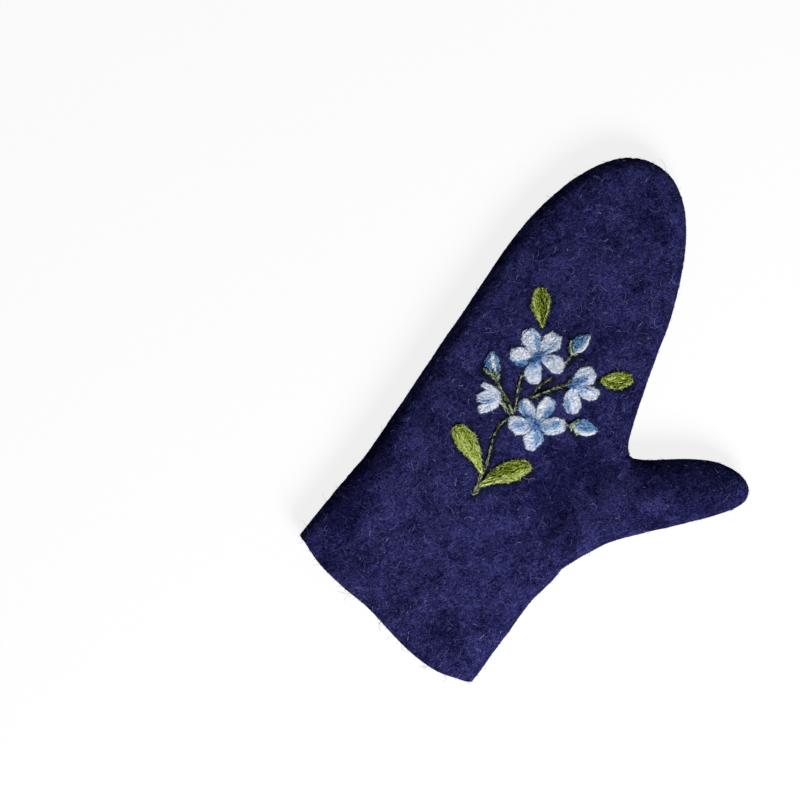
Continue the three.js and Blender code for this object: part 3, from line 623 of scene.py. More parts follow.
# Stems and the small leaves that hold a bud are twisted tufts along routes. Each route has its
# width in mm, the number of its plies, and then its points.
tuftRows = {
    "stem_main": [(0.95, 3, [(-4.6, -18.8), (-4.0, -14.4), (-4.6, -8.9), (-5.2, -3.1), (-5.7, 1.0),
                             (-6.5, 5.5), (-7.6, 9.9), (-8.0, 14.6), (-7.5, 19.1), (-5.4, 23.5)]),
                  (1.3, 4, [(-4.4, -17.2), (-4.7, -11.4), (-5.5, -8.1), (-6.3, -5.0)]),
                  (1.2, 4, [(-4.4, -18.4), (-3.4, -15.7), (-1.8, -11.5)])],
    "stem_left_flower": [(1.5, 5, [(-14.6, 32.4), (-13.3, 30.1), (-11.2, 28.9), (-9.0, 27.5), (-6.8, 26.7),
                                   (-4.9, 26.5)]),
                         (1.0, 3, [(-15.3, 28.7), (-13.2, 28.9), (-11.0, 28.2)])],
    "stem_left_bud": [(1.2, 4, [(-19.6, 38.7), (-16.2, 35.7), (-12.5, 33.2), (-9.1, 30.6), (-6.4, 28.2),
                                (-4.2, 26.2)])],
    "stem_upper_flower": [(0.75, 3, [(-4.0, 27.6), (-5.4, 32.4), (-7.0, 37.2), (-8.5, 43.2), (-8.8, 47.0)])],
    "stem_upper_bud_low": [(0.8, 3, [(0.3, 37.1), (0.6, 40.3), (1.5, 43.5), (3.2, 47.6), (5.2, 51.1)])],
    "stem_upper_bud_top": [(0.7, 3, [(9.6, 65.4), (8.9, 63.0), (8.3, 60.9), (8.5, 59.7)])],
    "stem_right_flower": [(0.9, 3, [(0.6, 37.2), (2.6, 40.0), (5.4, 43.1), (8.6, 46.5), (11.5, 49.4),
                                    (14.4, 51.8)]),
                          (1.1, 4, [(14.1, 51.0), (14.0, 52.6), (13.7, 54.3)]),
                          (0.7, 3, [(25.8, 58.2), (28.9, 60.2)])],
    "stem_low_bud": [(0.9, 3, [(21.7, 33.0), (23.0, 33.5), (24.6, 33.9)])],
    "calyx_left": [(1.9, 7, [(-18.4, 37.8), (-21.5, 38.8), (-24.4, 39.5), (-27.6, 40.2)]),
                   (0.9, 4, [(-18.7, 38.0), (-18.8, 40.2), (-20.1, 43.5)]),
                   (1.7, 7, [(-18.7, 38.2), (-20.6, 39.9), (-22.8, 41.4)])],
    "calyx_upper": [(1.8, 7, [(9.9, 65.4), (8.2, 66.9), (6.8, 69.0), (6.2, 71.9)]),
                    (1.4, 6, [(9.8, 65.8), (8.9, 67.6), (8.0, 69.6)]),
                    (0.8, 3, [(9.6, 66.0), (10.6, 66.6), (11.9, 66.9)])],
    "calyx_low": [(1.1, 4, [(23.9, 33.8), (25.2, 35.2), (25.6, 36.6), (26.9, 38.1)]),
                  (1.4, 6, [(23.4, 33.8), (25.4, 33.0), (27.4, 32.0), (29.5, 31.1)]),
                  (1.0, 4, [(24.2, 34.0), (25.8, 34.6), (26.6, 33.4)])],
}


# Plan distance from points to the nearest piece of the spray, 0 inside it. For a patch it is
# how far the point is beyond the half width or beyond an end, and for a tuft the distance to
# its line less half its width.
def distanceToSpray(x, y, kinds=("petal", "eye", "leaf", "bud"), tufts=True):
    best = np.full(x.shape, 1e3)
    for patch in patches:
        if kindName(patch) not in kinds:
            continue
        along, across = patchCoordinates(patch, x, y)
        near = (np.abs(along - patch["length"] / 2) < patch["length"]) & (np.abs(across) < 14)
        a, w = along[near], across[near]
        side = np.maximum(np.abs(w) - halfWidthAt(patch, a / patch["length"], w), 0)
        ends = np.maximum(np.maximum(-a, a - patch["length"]), 0)
        best[near] = np.minimum(best[near], np.hypot(side, ends))
    for width, _, route in (row for rows in tuftRows.values() for row in rows if tufts):
        line = splineAt(route, np.linspace(0, len(route) - 1, 12 * len(route)))
        near = ((x > line[:, 0].min() - 6) & (x < line[:, 0].max() + 6)
                & (y > line[:, 1].min() - 6) & (y < line[:, 1].max() + 6))
        d = np.hypot(x[near][:, None] - line[None, :, 0], y[near][:, None] - line[None, :, 1]).min(1)
        best[near] = np.minimum(best[near], np.maximum(d - width / 2, 0))
    return best


# The mitten: outside and inside skins, back and palm, and a rounded rim between them at the hem.
# Back height is the edge height mixed to the height of the back by the share, the palm's to 0. The
# role is 0 on the back's outside, 1 on the palm's, 2 inside and 3 on the rim.
def makeMitten():
    parts, faces, roles, rims = [], [], [], []

    def put(grid, turned, role):        # adds a grid of points with its faces
        faces.append(gridFaces(*grid.shape[:2], turned, sum(map(len, parts))))
        parts.append(grid.reshape(-1, 3))
        roles.append(np.full(len(parts[-1]), role))

    # adds one skin, and gives back its first two rows, at the hem
    def skin(inset, step, columns, edgeSteps, seamSteps, back, role):
        hems = []
        for patch, mirrored in skinPatches(inset, step, columns, edgeSteps, seamSteps):
            x, y, share = patch[..., 0], patch[..., 1], patch[..., 2]
            height = backHeight(x, y) - inset if back else np.full(x.shape, float(inset))
            grid = np.dstack([x, y, mixOf(felt["edgeHeight"], height, share)])
            put(grid, mirrored != ((inset == 0) != back), role)
            hems.append(grid[:2])
        return np.concatenate([hems[0], hems[1][:, 1:], hems[2][:, ::-1][:, 1:]], axis=1)

    for back, columns, edgeSteps in ((True, felt["backColumns"], felt["backEdge"]),
                                     (False, felt["palmColumns"], felt["palmEdge"])):
        outer = skin(0.0, felt["outsideStep"], columns, edgeSteps, felt["seamSteps"], back, int(not back))
        inner = skin(felt["wall"], felt["insideStep"], columns, edgeSteps, felt["insideSeamSteps"], back, 2)
        away = unit((outer[0] - outer[1]) + (inner[0] - inner[1]))
        rims.append((outer[0], inner[0], away, back))
    turn = np.linspace(0, np.pi, felt["rimSteps"] + 1)[:, None, None]
    for outer, inner, away, back in rims:
        middle, half = (outer + inner) / 2, (outer - inner) / 2
        put(middle + half * np.cos(turn) + away * felt["rimBulge"] * np.sin(turn), back, 3)
    return np.concatenate(parts), faces, {"role": np.concatenate(roles)}


print("mitten body")
points, faces, marks = makeMitten()
body = addMesh("mittenBody", points, faces, navyFelt, marks, weld=True)

lumpSizes = [(24.0, 0.42, 3), (8.0, 0.20, 5), (3.2, 0.085, 7)]      # cell and height in mm, seed
lumpShare = {"palm": 0.35, "rim": 0.5}      # of their height, on the palm and on the hem's rim
# how far and how strongly the spray's needling shows in the felt, as a dip and as a dark ring that
# is partly painted shade: reaches, dip and shift in mm
needlingAndShade = {
    "dark": 0.12, "darkReach": 1.8, "leafReach": 2.0, "strayReach": 1.3, "calm": 0.7, "calmReach": 6.0,
    # the dark ring round a leaf, partly painted shade, lies more to the lower right
    "dip": 0.2, "leafShift": (0.55, -0.43),     # the dark wool round a leaf lies more to the lower right
}
# where wear has rounded the hem's corner and the crotch: x, y, reach, and the move in x and y
wornPlaces = [(32.8, -103.5, 3.4, 0.33, -0.68), (37.3, -102.2, 1.5, -0.25, 0.1),
              (57.2, 36.4, 2.6, -0.75, -0.3), (57.6, 32.6, 1.5, 0.4, 0.7)]


# Felt is never even: lumps of three sizes move each outside point along its normal, soft dents
# add to them on the back, and the felt dips where the spray is needle-felted in. The marks it sets
# carry painted shade and light for the felt's colour, and the dark ring round the spray is partly
# painted shade.
def roughenBody(thing):
    points, normals = readMesh(thing)
    x, y = points[:, 0], points[:, 1]
    role = np.empty(len(points), np.float32)
    thing.data.attributes["role"].data.foreach_get("value", role)
    palm = (role > 0.5) & (role < 1.5)
    up = np.clip(normals[:, 2], 0, 1) * (role < 0.5)
    move = sum(height * lumps(points, cell, seed) for cell, height, seed in lumpSizes)
    move = move * np.where(role < 2.5, 1.0, lumpShare["rim"]) * np.where(palm, lumpShare["palm"], 1.0)
    away = distanceToSpray(x, y)
    shiftX, shiftY = needlingAndShade["leafShift"]
    green = distanceToSpray(x - shiftX, y - shiftY, ("leaf",))
    pale = distanceToSpray(x, y, ("petal", "bud"), tufts=False)
    near, nearLeaf, nearBlue, calm = (
        np.exp(-(distance / needlingAndShade[reach]) ** 2) * (up > 0.5) for distance, reach in
        ((away, "darkReach"), (green, "leafReach"), (pale, "strayReach"), (away, "calmReach")))
    # a dark ring round the spray, partly pressed wool and partly painted shade; deep, the painted shade and
    # light of the table; feather, blue strayed off the petals
    marks = {
        "needled": np.maximum(needlingAndShade["dark"] * near, nearLeaf),
        "deep": gaussians(paintedShadeAndLight, x, y) * (up > 0),
        "feather": nearBlue * (0.6 + 0.6 * lumps(points, 1.6, 31)),
    }
    # the felt lies flat where it was needled
    move = (move * (1 - needlingAndShade["calm"] * calm) + up * gaussians(softRelief, x, y)
            - needlingAndShade["dip"] * marks["needled"])
    move = np.where(palm & (points[:, 2] < 0.6), 0.0, move)        # the palm stays on the floor
    worn = sum(np.exp(-((x - px) ** 2 + (y - py) ** 2) / reach ** 2)[:, None] * (dx, dy, 0)
               for px, py, reach, dx, dy in wornPlaces)
    points = points + normals * move[:, None] + worn
    points[:, 2] = np.maximum(points[:, 2], 0)
    thing.data.vertices.foreach_set("co", (points * mm).ravel())
    for mark, values in marks.items():
        setMark(thing.data, mark, values)
    thing.data.attributes.remove(thing.data.attributes["role"])
    thing.data.update()
    return role


bodyRole = roughenBody(body)
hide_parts("mitten_body")
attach(body, "root")


# Faces of stacked rings that a point closes at each end, as quads of point numbers and as
# triangles. The two end points come after the rings, and turned is the other way round.
def ringFaces(rings, sides, turned=False):
    i = np.arange(rings * sides).reshape(rings, sides)
    j = np.roll(i, -1, axis=1)
    quads = np.stack([i[:-1], i[1:], j[1:], j[:-1]], -1).reshape(-1, 4)
    ends = np.concatenate([np.stack([i[0], j[0], np.full(sides, rings * sides)], -1),
                           np.stack([j[-1], i[-1], np.full(sides, rings * sides + 1)], -1)])
    return (quads[:, [0, 3, 2, 1]], ends[:, [1, 0, 2]]) if turned else (quads, ends)


# Closed tubes along many paths at once: rings round the inner points of each path and one point
# at each end. The radius swells as sin(pi t)^0.4 along the path. The last thing it gives back is
# the number of points in a tube.
def tubeMesh(paths, radius, sides=3):
    n, rings = len(paths), paths.shape[1] - 2
    along = unit(np.gradient(paths, axis=1))
    side = unit(np.cross(along, [0.02, 0.01, 1.0]))     # no path runs just this way
    lift = np.cross(side, along)
    t = np.linspace(0, 1, rings + 2)[1:-1]
    r = np.asarray(radius).reshape(-1, 1) * (np.sin(np.pi * t) ** 0.4)[None]
    angle = np.arange(sides)[:, None] / sides * 2 * np.pi
    ring = paths[:, 1:-1, None] + r[..., None, None] * (
        np.cos(angle) * side[:, 1:-1, None] + np.sin(angle) * lift[:, 1:-1, None])
    points = np.concatenate([ring.reshape(n, -1, 3), paths[:, :1], paths[:, -1:]], axis=1)
    per = points.shape[1]
    start = (np.arange(n) * per)[:, None, None]
    faces = [(f[None] + start).reshape(-1, f.shape[1]) for f in ringFaces(rings, sides)]
    return points.reshape(-1, 3), faces, per


# Points spread evenly over the triangles of a mesh, each with its normal. weightOf says how
# densely, from the triangle's middle and normal.
def scatter(thing, count, weightOf):
    thing.data.calc_loop_triangles()
    tris = thing.data.loop_triangles
    ids = np.empty(len(tris) * 3, np.int32)
    tris.foreach_get("vertices", ids)
    ids = ids.reshape(-1, 3)
    points, _ = readMesh(thing)
    a, b, c = points[ids[:, 0]], points[ids[:, 1]], points[ids[:, 2]]
    cross = np.cross(b - a, c - a)
    area, normal = np.linalg.norm(cross, axis=1) / 2, unit(cross)
    weight = area * weightOf((a + b + c) / 3, normal, ids)
    pick = random.choice(len(ids), count, p=weight / weight.sum())
    r1, r2 = np.sqrt(random.random(count))[:, None], random.random(count)[:, None]
    return (1 - r1) * a[pick] + r1 * (1 - r2) * b[pick] + r1 * r2 * c[pick], normal[pick]


# Curly fibres that lie on the felt: each starts at a point of the surface, turns steadily in the
# surface's plane, and rises by lift sin(pi t) above it, with its ends in the felt.
def fuzzPaths(points, normals, length, curl, lift, steps):
    n = len(points)
    t = np.linspace(0, 1, steps)[None]
    anyWay = unit(random.normal(size=(n, 3)))
    east = unit(np.cross(normals, anyWay))
    north = np.cross(normals, east)
    heading = random.random((n, 1)) * 2 * np.pi + curl[:, None] * t
    step = length[:, None] / (steps - 1)
    dx = np.cumsum(np.cos(heading) * step, axis=1) - np.cos(heading[:, :1]) * step
    dy = np.cumsum(np.sin(heading) * step, axis=1) - np.sin(heading[:, :1]) * step
    rise = lift[:, None] * np.sin(np.pi * t) ** 0.8 - 0.05
    return (points[:, None] + east[:, None] * dx[..., None] + north[:, None] * dy[..., None]
            + normals[:, None] * rise[..., None])


# Fuzz: thousands of single fibres. Real merino is 0.02 mm thick, too fine to show, so these are
# drawn about eight times as thick. Radius, length and lift over the felt are mm, curl is radians,
# and shade is the middle and spread of the fibres' shades.
shortFuzz = {"count": 7300, "steps": 6, "radius": 0.082, "length": (1.6, 4.2), "curl": 2.4, "lift": 0.20,
             "shade": (0.37, 0.21)}
fuzz = {
    "fuzz1": shortFuzz,
    "fuzz2": shortFuzz,
    "longFuzz": {"count": 2600, "steps": 9, "radius": 0.065, "length": (4.0, 8.5), "curl": 1.7, "lift": 0.3,
                 "shade": (0.46, 0.18)},
    "longHairs": {"count": 120, "steps": 13, "radius": 0.068, "length": (5.0, 14.0), "curl": 1.6, "lift": 0.6,
                  "shade": (0.60, 0.09)},
    "lint": {"count": 22, "steps": 5, "radius": 0.15, "length": (0.5, 1.0), "curl": 1.0, "lift": 0.2,
             "shade": (0.92, 0.06)},
}
fibreShare = {"over": 1.0, "under": 0.16, "within": 0.05}       # over, under and in the mitten


# How densely fibres stand: by the share of their side, fewer by 1 - 0.92 exp(-(d / 2.1)^2) where
# the spray is within d, and in soft clouds.
def fibreWeight(middle, normal, ids):
    calm = 1 - 0.92 * np.exp(-(distanceToSpray(middle[:, 0], middle[:, 1]) / 2.1) ** 2) * (normal[:, 2] > 0.3)
    role = bodyRole[ids[:, 0]]
    outside = np.where(normal[:, 2] > -0.1, fibreShare["over"], fibreShare["under"])
    share = np.where((role < 1.5) | (role > 2.5), outside, fibreShare["within"])
    return share * calm * (1 + 0.4 * lumps(middle, 8.0, 23))


# A piece of fuzz. Fibres are shorter and lie flatter on steep felt, and carry the felt's painted
# shade and light: length x (0.35 + 0.65 z), lift x (0.25 + 0.75 z), and shade less 0.25 of it.
def makeFuzz(name, look):
    count = look["count"]
    at, normal = scatter(body, count, fibreWeight)
    flat = np.clip(normal[:, 2], 0, 1)
    length = random.uniform(*look["length"], count) * mixOf(0.35, 1.0, flat)
    curl = random.normal(size=count) * look["curl"]
    lift = np.minimum(random.exponential(look["lift"], count), 1.5) * mixOf(0.25, 1.0, flat)
    paths = fuzzPaths(at, normal, length, curl, lift, look["steps"])
    paths[..., 2] = np.maximum(paths[..., 2], 0.06)
    points, faces, per = tubeMesh(paths, look["radius"] * random.uniform(0.8, 1.3, count))
    # painted shade and light, as on the felt below
    deep = gaussians(paintedShadeAndLight, at[:, 0], at[:, 1]) * (normal[:, 2] > 0)
    shade = np.clip(random.normal(*look["shade"], count) - 0.25 * deep, 0.04, 1)
    piece = addMesh(name, points, faces, navyFuzz, {"shade": np.repeat(shade, per)})
    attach(piece, "root")


print("fuzz")
for name, look in fuzz.items():
    makeFuzz(name, look)


# Shape of a patch's top, from 0 at its border to 1 inside: sqrt(1 - s^2) sqrt(1 - (2t - 1)^8),
# where t runs along it and s across.
def domeOf(t, s):
    end = np.clip(2 * t - 1, -1, 1)
    return np.sqrt(np.clip(1 - s * s, 0, 1)) * np.sqrt(np.clip(1 - end ** 8, 0, 1))


# Where on the dome the rim's dye begins, how far it mixes inwards and wanders, how full the streak
# is and how far it wanders, how much the root's reach differs, and how uneven all of it is.
dyeing = {"rim": 0.74, "soft": 0.26, "rimWander": 0.12, "streak": 0.9, "streakWander": 0.2,
          "rootWander": 0.5, "uneven": 0.11}


# Dye at a place on a patch: the base, mixed to the rim's near the border, to the streak's by
# exp(-((s - side) / width)^2 - ((t - at) / long)^2), and to the root's by exp(-(t / reach)^1.6),
# and a bit uneven.
def dyeOf(patch, t, s, seed):
    base, rim, side, wide, streak, root, rootReach, at, long = patch["look"]
    uneven = lumpsAt(t * patch["length"] * 0.5, s * halfWidthAt(patch, t, s), seed * 3.7, 1.1, 11)
    edge = dyeing["rim"] + dyeing["rimWander"] * uneven - domeOf(t, s)
    dye = mixOf(base, rim, np.clip(edge / dyeing["soft"], 0, 1))
    off = s - side - dyeing["streakWander"] * uneven
    band = np.exp(-(off / wide) ** 2) * np.exp(-((t - at) / long) ** 2)
    dye = mixOf(dye, streak, dyeing["streak"] * band)
    dye = mixOf(dye, root, np.exp(-(t / (rootReach * (1 + dyeing["rootWander"] * uneven))) ** 1.6))
    return dye + dyeing["uneven"] * uneven


# How each way of strand lies. ends, side and level are where it starts, as shares of the patch's
# length, half width and border, run and slant how far it goes of them, and swing how far a streak's
# strand leaves the streak. bend is how far a strand turns on each side, in radians, stray how far a
# frayed one turns off, and reach its half length, wave its height and radius its own, all in mm.
# thick is its share of the kind's radius.
lie = {
    "curls": {"level": (0.80, 1.0), "bend": 1.3, "reach": (0.5, 1.3), "thick": (0.6, 1.2)},
    "lengthwise": {"ends": (0.08, 0.9), "side": (-0.9, 0.9), "slant": 0.2, "wave": 0.2, "thick": (0.7, 1.3)},
    "tangled": {"ends": (0.06, 0.94), "side": (-0.9, 0.9), "bend": 1.5, "reach": (0.6, 1.4),
                "thick": (0.6, 1.2)},
    "banded": {"ends": (0.08, 0.86), "run": (0.09, 0.16), "swing": 0.45, "slant": 0.04, "thick": (0.7, 1.2)},
    "frayed": {"level": 0.97, "stray": 0.8, "bend": 1.2, "radius": (0.055, 0.1)},
}
lieWithin, lieAcross = (0.01, 0.98), (-0.95, 0.95)     # and none of them leaves this part of a patch


# Strands of a patch, in groups of equal steps, in mm along and across it, each with its radius
# and how much darker it is. Curls lie along the border, lengthwise ones and those of the streak
# run from root to tip, tangled ones any way, and frayed ones cross the border. q runs from -1 to 1
# along a strand.
def strandGroups(patch, kind):
    length, radius = patch["length"], kind["radius"]

    def border(phi, level):     # the point of the border at an angle, drawn in to a level
        t = 0.5 - 0.5 * np.cos(phi)
        side = -np.sign(np.sin(phi))
        return mixOf(length * 0.5, t * length, level), side * halfWidthAt(patch, t, side) * level

    def walk(a, w, heading, bend, reach, q):    # arcs through a, w that turn by bend on each side
        turned = heading + bend * q
        step = reach * (q[0, 1] - q[0, 0])
        da, dw = np.cumsum(np.cos(turned) * step, axis=1), np.cumsum(np.sin(turned) * step, axis=1)
        k = q.shape[1] // 2
        return a + da - da[:, k:k + 1], w + dw - dw[:, k:k + 1]

    def curls(n, q, own):
        phi = anyOf(n, (0, 2 * np.pi))
        level = anyOf(n, own["level"])
        (a, w), (b, v) = border(phi, level), border(phi + 0.1, level)
        heading = np.arctan2(v - w, b - a) + about(n, kind["stray"])
        a, w = walk(a, w, heading, about(n, own["bend"]), anyOf(n, own["reach"]), q)
        return a, w, radius * random.uniform(*own["thick"], n)

    def banded(n, q, own):
        t = np.clip(anyOf(n, own["ends"]) + anyOf(n, own["run"]) * q, *lieWithin)
        side, wide = patch["look"][2:4]
        side = np.clip(side + wide * about(n, own["swing"]) + own["slant"] * q, *lieAcross)
        return t * length, side * halfWidthAt(patch, t, side), radius * random.uniform(*own["thick"], n)

    def lengthwise(n, q, own):
        t = np.clip(anyOf(n, own["ends"]) + anyOf(n, kind["run"]) * q, *lieWithin)
        side = np.clip(anyOf(n, own["side"]) + about(n, own["slant"]) * q, *lieAcross)
        w = side * halfWidthAt(patch, t, side) + own["wave"] * np.sin(q * 4 + anyOf(n, (0, 6.3)))
        return t * length, w, radius * random.uniform(*own["thick"], n)

    def tangled(n, q, own):
        t, side = anyOf(n, own["ends"]), anyOf(n, own["side"])
        heading = about(n, kind["unruly"])
        a, w = walk(t * length, side * halfWidthAt(patch, t, side), heading,
                    about(n, own["bend"]), anyOf(n, own["reach"]), q)
        limit = halfWidthAt(patch, a / length, w) + 0.1
        return a, np.clip(w, -limit, limit), radius * random.uniform(*own["thick"], n)

    def frayed(n, q, own):
        a, w = border(anyOf(n, (0, 2 * np.pi)), own["level"])
        heading = np.arctan2(w, a - length / 2) + about(n, own["stray"])
        a, w = walk(a, w, heading, about(n, own["bend"]), anyOf(n, kind["fray"]), q)
        return a, w, random.uniform(*own["radius"], n)

    ways = (("curls", curls, 6, 0.0), ("lengthwise", lengthwise, 6, 0.0), ("tangled", tangled, 6, 0.0),
            ("banded", banded, 6, 0.0), ("frayed", frayed, 5, kind["tips"]))
    return [(*way(kind[name], np.linspace(-1, 1, steps)[None], lie[name]), darker)
            for name, way, steps, darker in ways]


def joined(parts):      # several lots of points, faces and marks as one
    starts = np.cumsum([0] + [len(p[0]) for p in parts])
    faces = [f + start for (_, fs, _), start in zip(parts, starts) for f in fs]
    marks = {key: np.concatenate([p[2][key] for p in parts]) for key in parts[0][2]}
    return np.concatenate([p[0] for p in parts]), faces, marks


# A patch of needled wool: rings of points from its middle to its border on top, its border tufty,
# its underside in the felt, and strands of wool over it. Its top rises as dome^slope, less a
# shallow dish of 0.2 dome^2.
def patchParts(patch, kind, seed):
    sides, rings, borderLift = 72, 8, 0.22
    c, s = directionOf(patch["turn"])
    patch = dict(patch, x=patch["x"] - kind["reach"] * c, y=patch["y"] - kind["reach"] * s,
                 length=patch["length"] + kind["reach"])
    length, thick = patch["length"], kind["thick"]

    def place(a, w, lift):      # a point along, across and over the felt
        x, y = patch["x"] + a * c - w * s, patch["y"] + a * s + w * c
        return np.stack([x, y, visibleHeight(x, y) + lift], -1)

    def coordinates(a, w):      # as shares of the length and of the half width
        t = np.clip(a / length, 0, 1)
        return t, np.clip(w / np.maximum(halfWidthAt(patch, t, w), 0.05), -1, 1)

    def topLift(a, w):          # height of the top over the felt, with fine ridges
        dome = domeOf(*coordinates(a, w))
        ridge = lumpsAt(a * 0.5, w, seed * 1.9, 0.8, 5)
        return mixOf(borderLift, thick, dome ** kind["slope"] - 0.2 * dome ** 2) + 0.16 * ridge * dome

    def marksOf(a, w, dye):
        return {"dye": np.clip(dye, -0.4, 1.2), "along": a * 0.5 + seed * 5, "across": w * 1.5,
                "border": (1 - domeOf(*coordinates(a, w))) ** 3}

    # the layers: a narrow one and the border in the felt, then the rings on top
    angle = np.arange(sides) / sides * 2 * np.pi
    t, side = 0.5 - 0.5 * np.cos(angle), -np.sign(np.sin(angle))
    tuft = 0.93 + 0.03 * lumpsAt(np.cos(angle) * 3, np.sin(angle) * 3, seed * 2.3 * 3, 0.8, 3)
    tuft = tuft + 0.035 * np.clip(random.normal(size=sides), -1.6, 1.6)
    share = np.linspace(1, 0, rings + 1)[:-1, None] * tuft
    a = mixOf(length * 0.5, t * length, share)
    w = side * halfWidthAt(patch, t, side) * share
    deep = np.full((1, sides), -sinkDepth)
    middle = np.array([length * 0.5]), np.array([0.0])
    layers = np.concatenate([place(a[4:5], w[4:5], deep), place(a[:1], w[:1], deep),
                             place(a, w, topLift(a, w))])
    points = np.concatenate([layers.reshape(-1, 3), place(*middle, -sinkDepth),
                             place(*middle, topLift(*middle))])
    allA = np.concatenate([a[4], a[0], a.ravel(), [length / 2] * 2])
    allW = np.concatenate([w[4], w[0], w.ravel(), [0, 0]])
    # the wool beneath the strands is darker: partly deeper wool, partly painted shade in the gaps between
    # them
    dye = dyeOf(patch, *coordinates(allA, allW), seed) + kind["under"]
    dye[:3 * sides] += kind["edge"]
    parts = [(points, ringFaces(len(layers), sides, turned=True), marksOf(allA, allW, dye))]

    for aa, ww, radius, darker in strandGroups(patch, kind):
        n, steps = aa.shape
        beyond = np.abs(ww) - halfWidthAt(patch, aa / length, ww)
        inside = (beyond < 0) & (aa > 0) & (aa < length)
        arch = np.sin(np.pi * np.linspace(0, 1, steps))[None]
        lift = np.where(inside, topLift(aa, ww), kind["beyond"])
        lift = lift + arch * anyOf(n, (0, 0.3)) - 0.06
        strandPoints, strandFaces, per = tubeMesh(place(aa, ww, lift), radius)
        midA, midW = aa[:, steps // 2], ww[:, steps // 2]
        dye = dyeOf(patch, *coordinates(midA, midW), seed) + darker + random.normal(-0.05, kind["mixed"], n)
        parts.append((strandPoints, strandFaces, marksOf(*(np.repeat(v, per) for v in (midA, midW, dye)))))
    return joined(parts)


def camelCase(name):        # petalUpper1 of petal_upper_1
    return "".join(w.capitalize() if k else w for k, w in enumerate(name.split("_")))


print("spray patches")
for number, patch in enumerate(patches):
    kind = patchKinds[kindName(patch)]
    points, faces, marks = patchParts(patch, kind, number + 1)
    piece = addMesh(camelCase(patch["name"]), points, faces, kind["wool"], marks)
    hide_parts(patch["name"])
    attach(piece, "root")


# A tuft: a thin twisted strand of wool along a route. Its plies wind round the route as
# cos and sin of 2 pi d / twist + 2 pi k / plies, each thicker and thinner on its way, and dip into
# the felt here and there where the needle went. Short strands lie over them. Lengths are mm.
tuftLook = {
    "wool": stemWool, "broader": 1.05, "height": 0.7, "dip": 0.85, "point": 0.0,
    "twist": 4.4, "plyShare": 0.30, "plyLong": 4.5,             # plies
    "perMm": 10, "strand": 0.10, "long": (1.2, 3.0), "stray": 0.5,      # short strands
    "base": 0.50, "spread": 0.50, "clumps": 0.7,                # dye, and how it differs
}
greenLook = dict(tuftLook, wool=calyxWool, base=0.38, spread=0.62)
calyxLook = dict(greenLook, height=1.6, point=0.7)


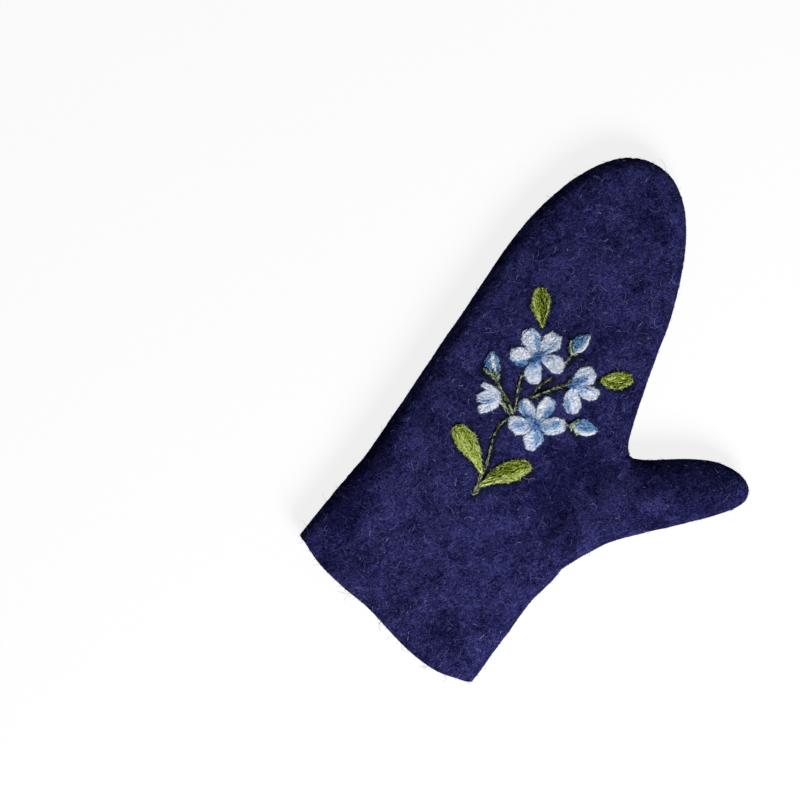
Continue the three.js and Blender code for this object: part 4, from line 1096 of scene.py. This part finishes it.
def makeTuft(name, rows, seed):
    look = calyxLook if name.startswith("calyx") else greenLook if name == "stem_left_flower" else tuftLook
    high, base, spread = look["height"], look["base"], look["spread"]
    parts = []
    for number, (width, plies, route) in enumerate(rows):
        width = width * look["broader"]
        fine = splineAt(route, np.linspace(0, len(route) - 1, 300))
        arc = np.concatenate([[0], np.cumsum(np.hypot(*np.diff(fine, axis=0).T))])
        total = arc[-1]
        own = seed + 0.31 * number

        def place(d, side, lift):       # a point at d along the route, beside it and over the felt
            here, ahead = (np.stack([np.interp(np.clip(v, 0, total), arc, fine[:, k]) for k in (0, 1)], -1)
                           for v in (d - 0.3, d + 0.3))
            along = unit(ahead - here)
            plan = (here + ahead) / 2 + np.stack([along[..., 1], -along[..., 0]], -1) * side[..., None]
            return np.concatenate([plan, (visibleHeight(plan[..., 0], plan[..., 1]) + lift)[..., None]], -1)

        def addStrands(d0, d, side, lift, radius, dye):     # d0 is the middle of each strand
            points, faces, per = tubeMesh(place(d, side, lift), radius)
            k = side.shape[1] // 2
            marks = {"dye": np.clip(dye, 0, 1), "along": d0[:, 0] * 0.7 + own * 5, "across": side[:, k] * 1.5}
            parts.append((points, faces, {key: np.repeat(v, per) for key, v in marks.items()}))

        def uneven(d, cell, offset):    # lumps along the route
            return lumpsAt(d, own * 3.1 + offset, 0.0, cell, 9)

        def dipAt(d):       # where the needle went in
            return look["dip"] * np.minimum(uneven(d, 2.4, 40) + 0.1, 0)

        def slim(d):    # a calyx runs out to a point
            return 1 - look["point"] * (d / total) ** 2

        # plies, cut into lengths so that each can have its own dye
        cuts = max(round(total / (0.7 * look["plyLong"])), 1)
        q = np.linspace(-0.5, 0.5, 9)[None]
        n = cuts * plies
        d0 = np.tile((np.arange(cuts) + 0.5) / cuts * total, plies)[:, None] + about(n, 0.4)
        k = np.repeat(np.arange(plies), cuts)[:, None]
        d = np.clip(d0 + min(look["plyLong"], total) * q, 0, total)
        phase = 2 * np.pi * (d / look["twist"] + k / plies + own)
        taper = np.sqrt(np.clip(1 - (2 * d / total - 1) ** 6, 0.05, 1))
        side = 0.5 * width * (0.68 * np.cos(phase) + 0.25 * uneven(d, 2.2, k[0, 0])) * taper * slim(d)
        lift = high * (0.45 + 0.3 * np.sin(phase)) * taper + dipAt(d)
        radius = look["plyShare"] * 0.5 * width * (3 / plies) ** 0.4
        radius = radius * random.uniform(0.75, 1.2, n) * slim(d0[:, 0])
        dye = base + random.normal(0, spread, n) + 0.3 * uneven(d0[:, 0], 1.8, 7)
        addStrands(d0, d, side, lift, radius, dye)

        # short strands, some of them stray
        n = max(int(total * look["perMm"] * width), 12)
        q = np.linspace(-0.5, 0.5, 5)[None]
        stray = random.random((n, 1)) < look["stray"]
        d0, reach = anyOf(n, (0.2, total - 0.2)), anyOf(n, look["long"])
        side = (anyOf(n, (-0.45, 0.45)) * width + about(n, 0.2) * width * q) * slim(d0)
        side = side + np.where(stray, about(n, 0.8) * (q + 0.5) ** 1.5, 0)
        d = d0 + reach * q
        lift = np.where(np.abs(side) < 0.5 * width, high * 0.75, 0.12) + 0.15 * np.cos(np.pi * q) + dipAt(d)
        radius = look["strand"] * random.uniform(0.6, 1.3, n)
        clump = lumpsAt(d0[:, 0] * 0.7, side[:, 2], own * 5.3, 0.75, 13)
        dye = base - 0.06 + random.normal(0, 0.5 * spread, n) + look["clumps"] * clump
        addStrands(d0, d, side, lift, radius, dye)
    points, faces, marks = joined(parts)
    piece = addMesh(camelCase(name), points, faces, look["wool"], marks)
    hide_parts(name)
    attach(piece, "root")


print("stems and calyces")
for number, (name, rows) in enumerate(tuftRows.items()):
    makeTuft(name, rows, number + 1)


# A plain white paper table. It glows by itself, so that it stays white and its shadow faint, as in
# a packshot, and the glow falls on nothing but the paper. Lengths are mm, grain is dots to a metre.
paperLook = {"half": 3000.0, "below": 0.1, "grain": 300.0, "tooth": ("#6c6c6c", "#6f6f6f"), "glow": 0.84}


def makeFloor():
    half, low = paperLook["half"], -paperLook["below"]
    points = [(-half, -half, low), (half, -half, low), (half, half, low), (-half, half, low)]
    material, shader, add = newMaterial("mattWhitePaper", {
        "Roughness": 1.0, "Specular IOR Level": 0.0,
        "Emission Color": linear("#ffffff"), "Emission Strength": paperLook["glow"]})
    place = add("TexCoord").outputs["Object"]
    tooth = add("TexNoise", {}, {"Vector": place, "Scale": paperLook["grain"], "Detail": 3.0})
    feed(shader, {"Base Color": add("ValToRGB", {}, {"Fac": tooth}, zip((0.3, 0.7), paperLook["tooth"]))})
    floor = addMesh("floor", points, [np.array([[0, 1, 2, 3]])], material)
    alone = bpy.data.collections.new("paperAlone")
    alone.objects.link(floor)
    floor.light_linking.receiver_collection = alone


studio = {
    "worldStrength": 0.2, "keyPower": 33.0,
    "keySize": 0.75, "keyDistance": 1.5,    # metres
    "keyTurn": -38.0, "keyHeight": 37.0,    # degrees from +X in the plan, and up from the floor
    "aim": (10.0, 20.0, 12.0),              # mm, as the lengths below
    "cameraAt": (-57.6, 7.9), "cameraTurn": 26.0, "frameWidth": 400.0, "lens": 180.0, "sensor": 36.0,
    "middleHeight": 8.5,
}


# A soft disc of light over the lower right, a white world, and a camera that looks straight down
# from frame width x lens / sensor over the mitten's middle height.
def makeStudio():
    stage = bpy.context.scene
    stage.world = bpy.data.worlds.new("studio")
    stage.world.use_nodes = True
    feed(stage.world.node_tree.nodes["Background"], {
        "Color": linear("#ffffff"), "Strength": studio["worldStrength"]})
    (east, north), (level, up) = directionOf(studio["keyTurn"]), directionOf(studio["keyHeight"])
    lamp = bpy.data.lights.new("key", "AREA")
    lamp.energy, lamp.shape, lamp.size = studio["keyPower"], "DISK", studio["keySize"]
    key = addObject("key", lamp)
    away = np.array([east * level, north * level, up]) * studio["keyDistance"]
    key.location = np.array(studio["aim"]) * mm + away
    # it faces the aim
    key.rotation_euler = np.radians((90 - studio["keyHeight"], 0, studio["keyTurn"] + 90))
    lens = bpy.data.cameras.new("camera")
    lens.sensor_width, lens.lens, lens.clip_start = studio["sensor"], studio["lens"], 0.05
    camera = addObject("camera", lens)
    distance = studio["frameWidth"] * studio["lens"] / studio["sensor"]
    camera.location = np.array([*studio["cameraAt"], studio["middleHeight"] + distance]) * mm
    camera.rotation_euler = (0, 0, np.radians(studio["cameraTurn"]))
    stage.camera = camera
    stage.view_settings.view_transform, stage.view_settings.look = "Standard", "None"


print("floor, light and camera")
makeFloor()
makeStudio()
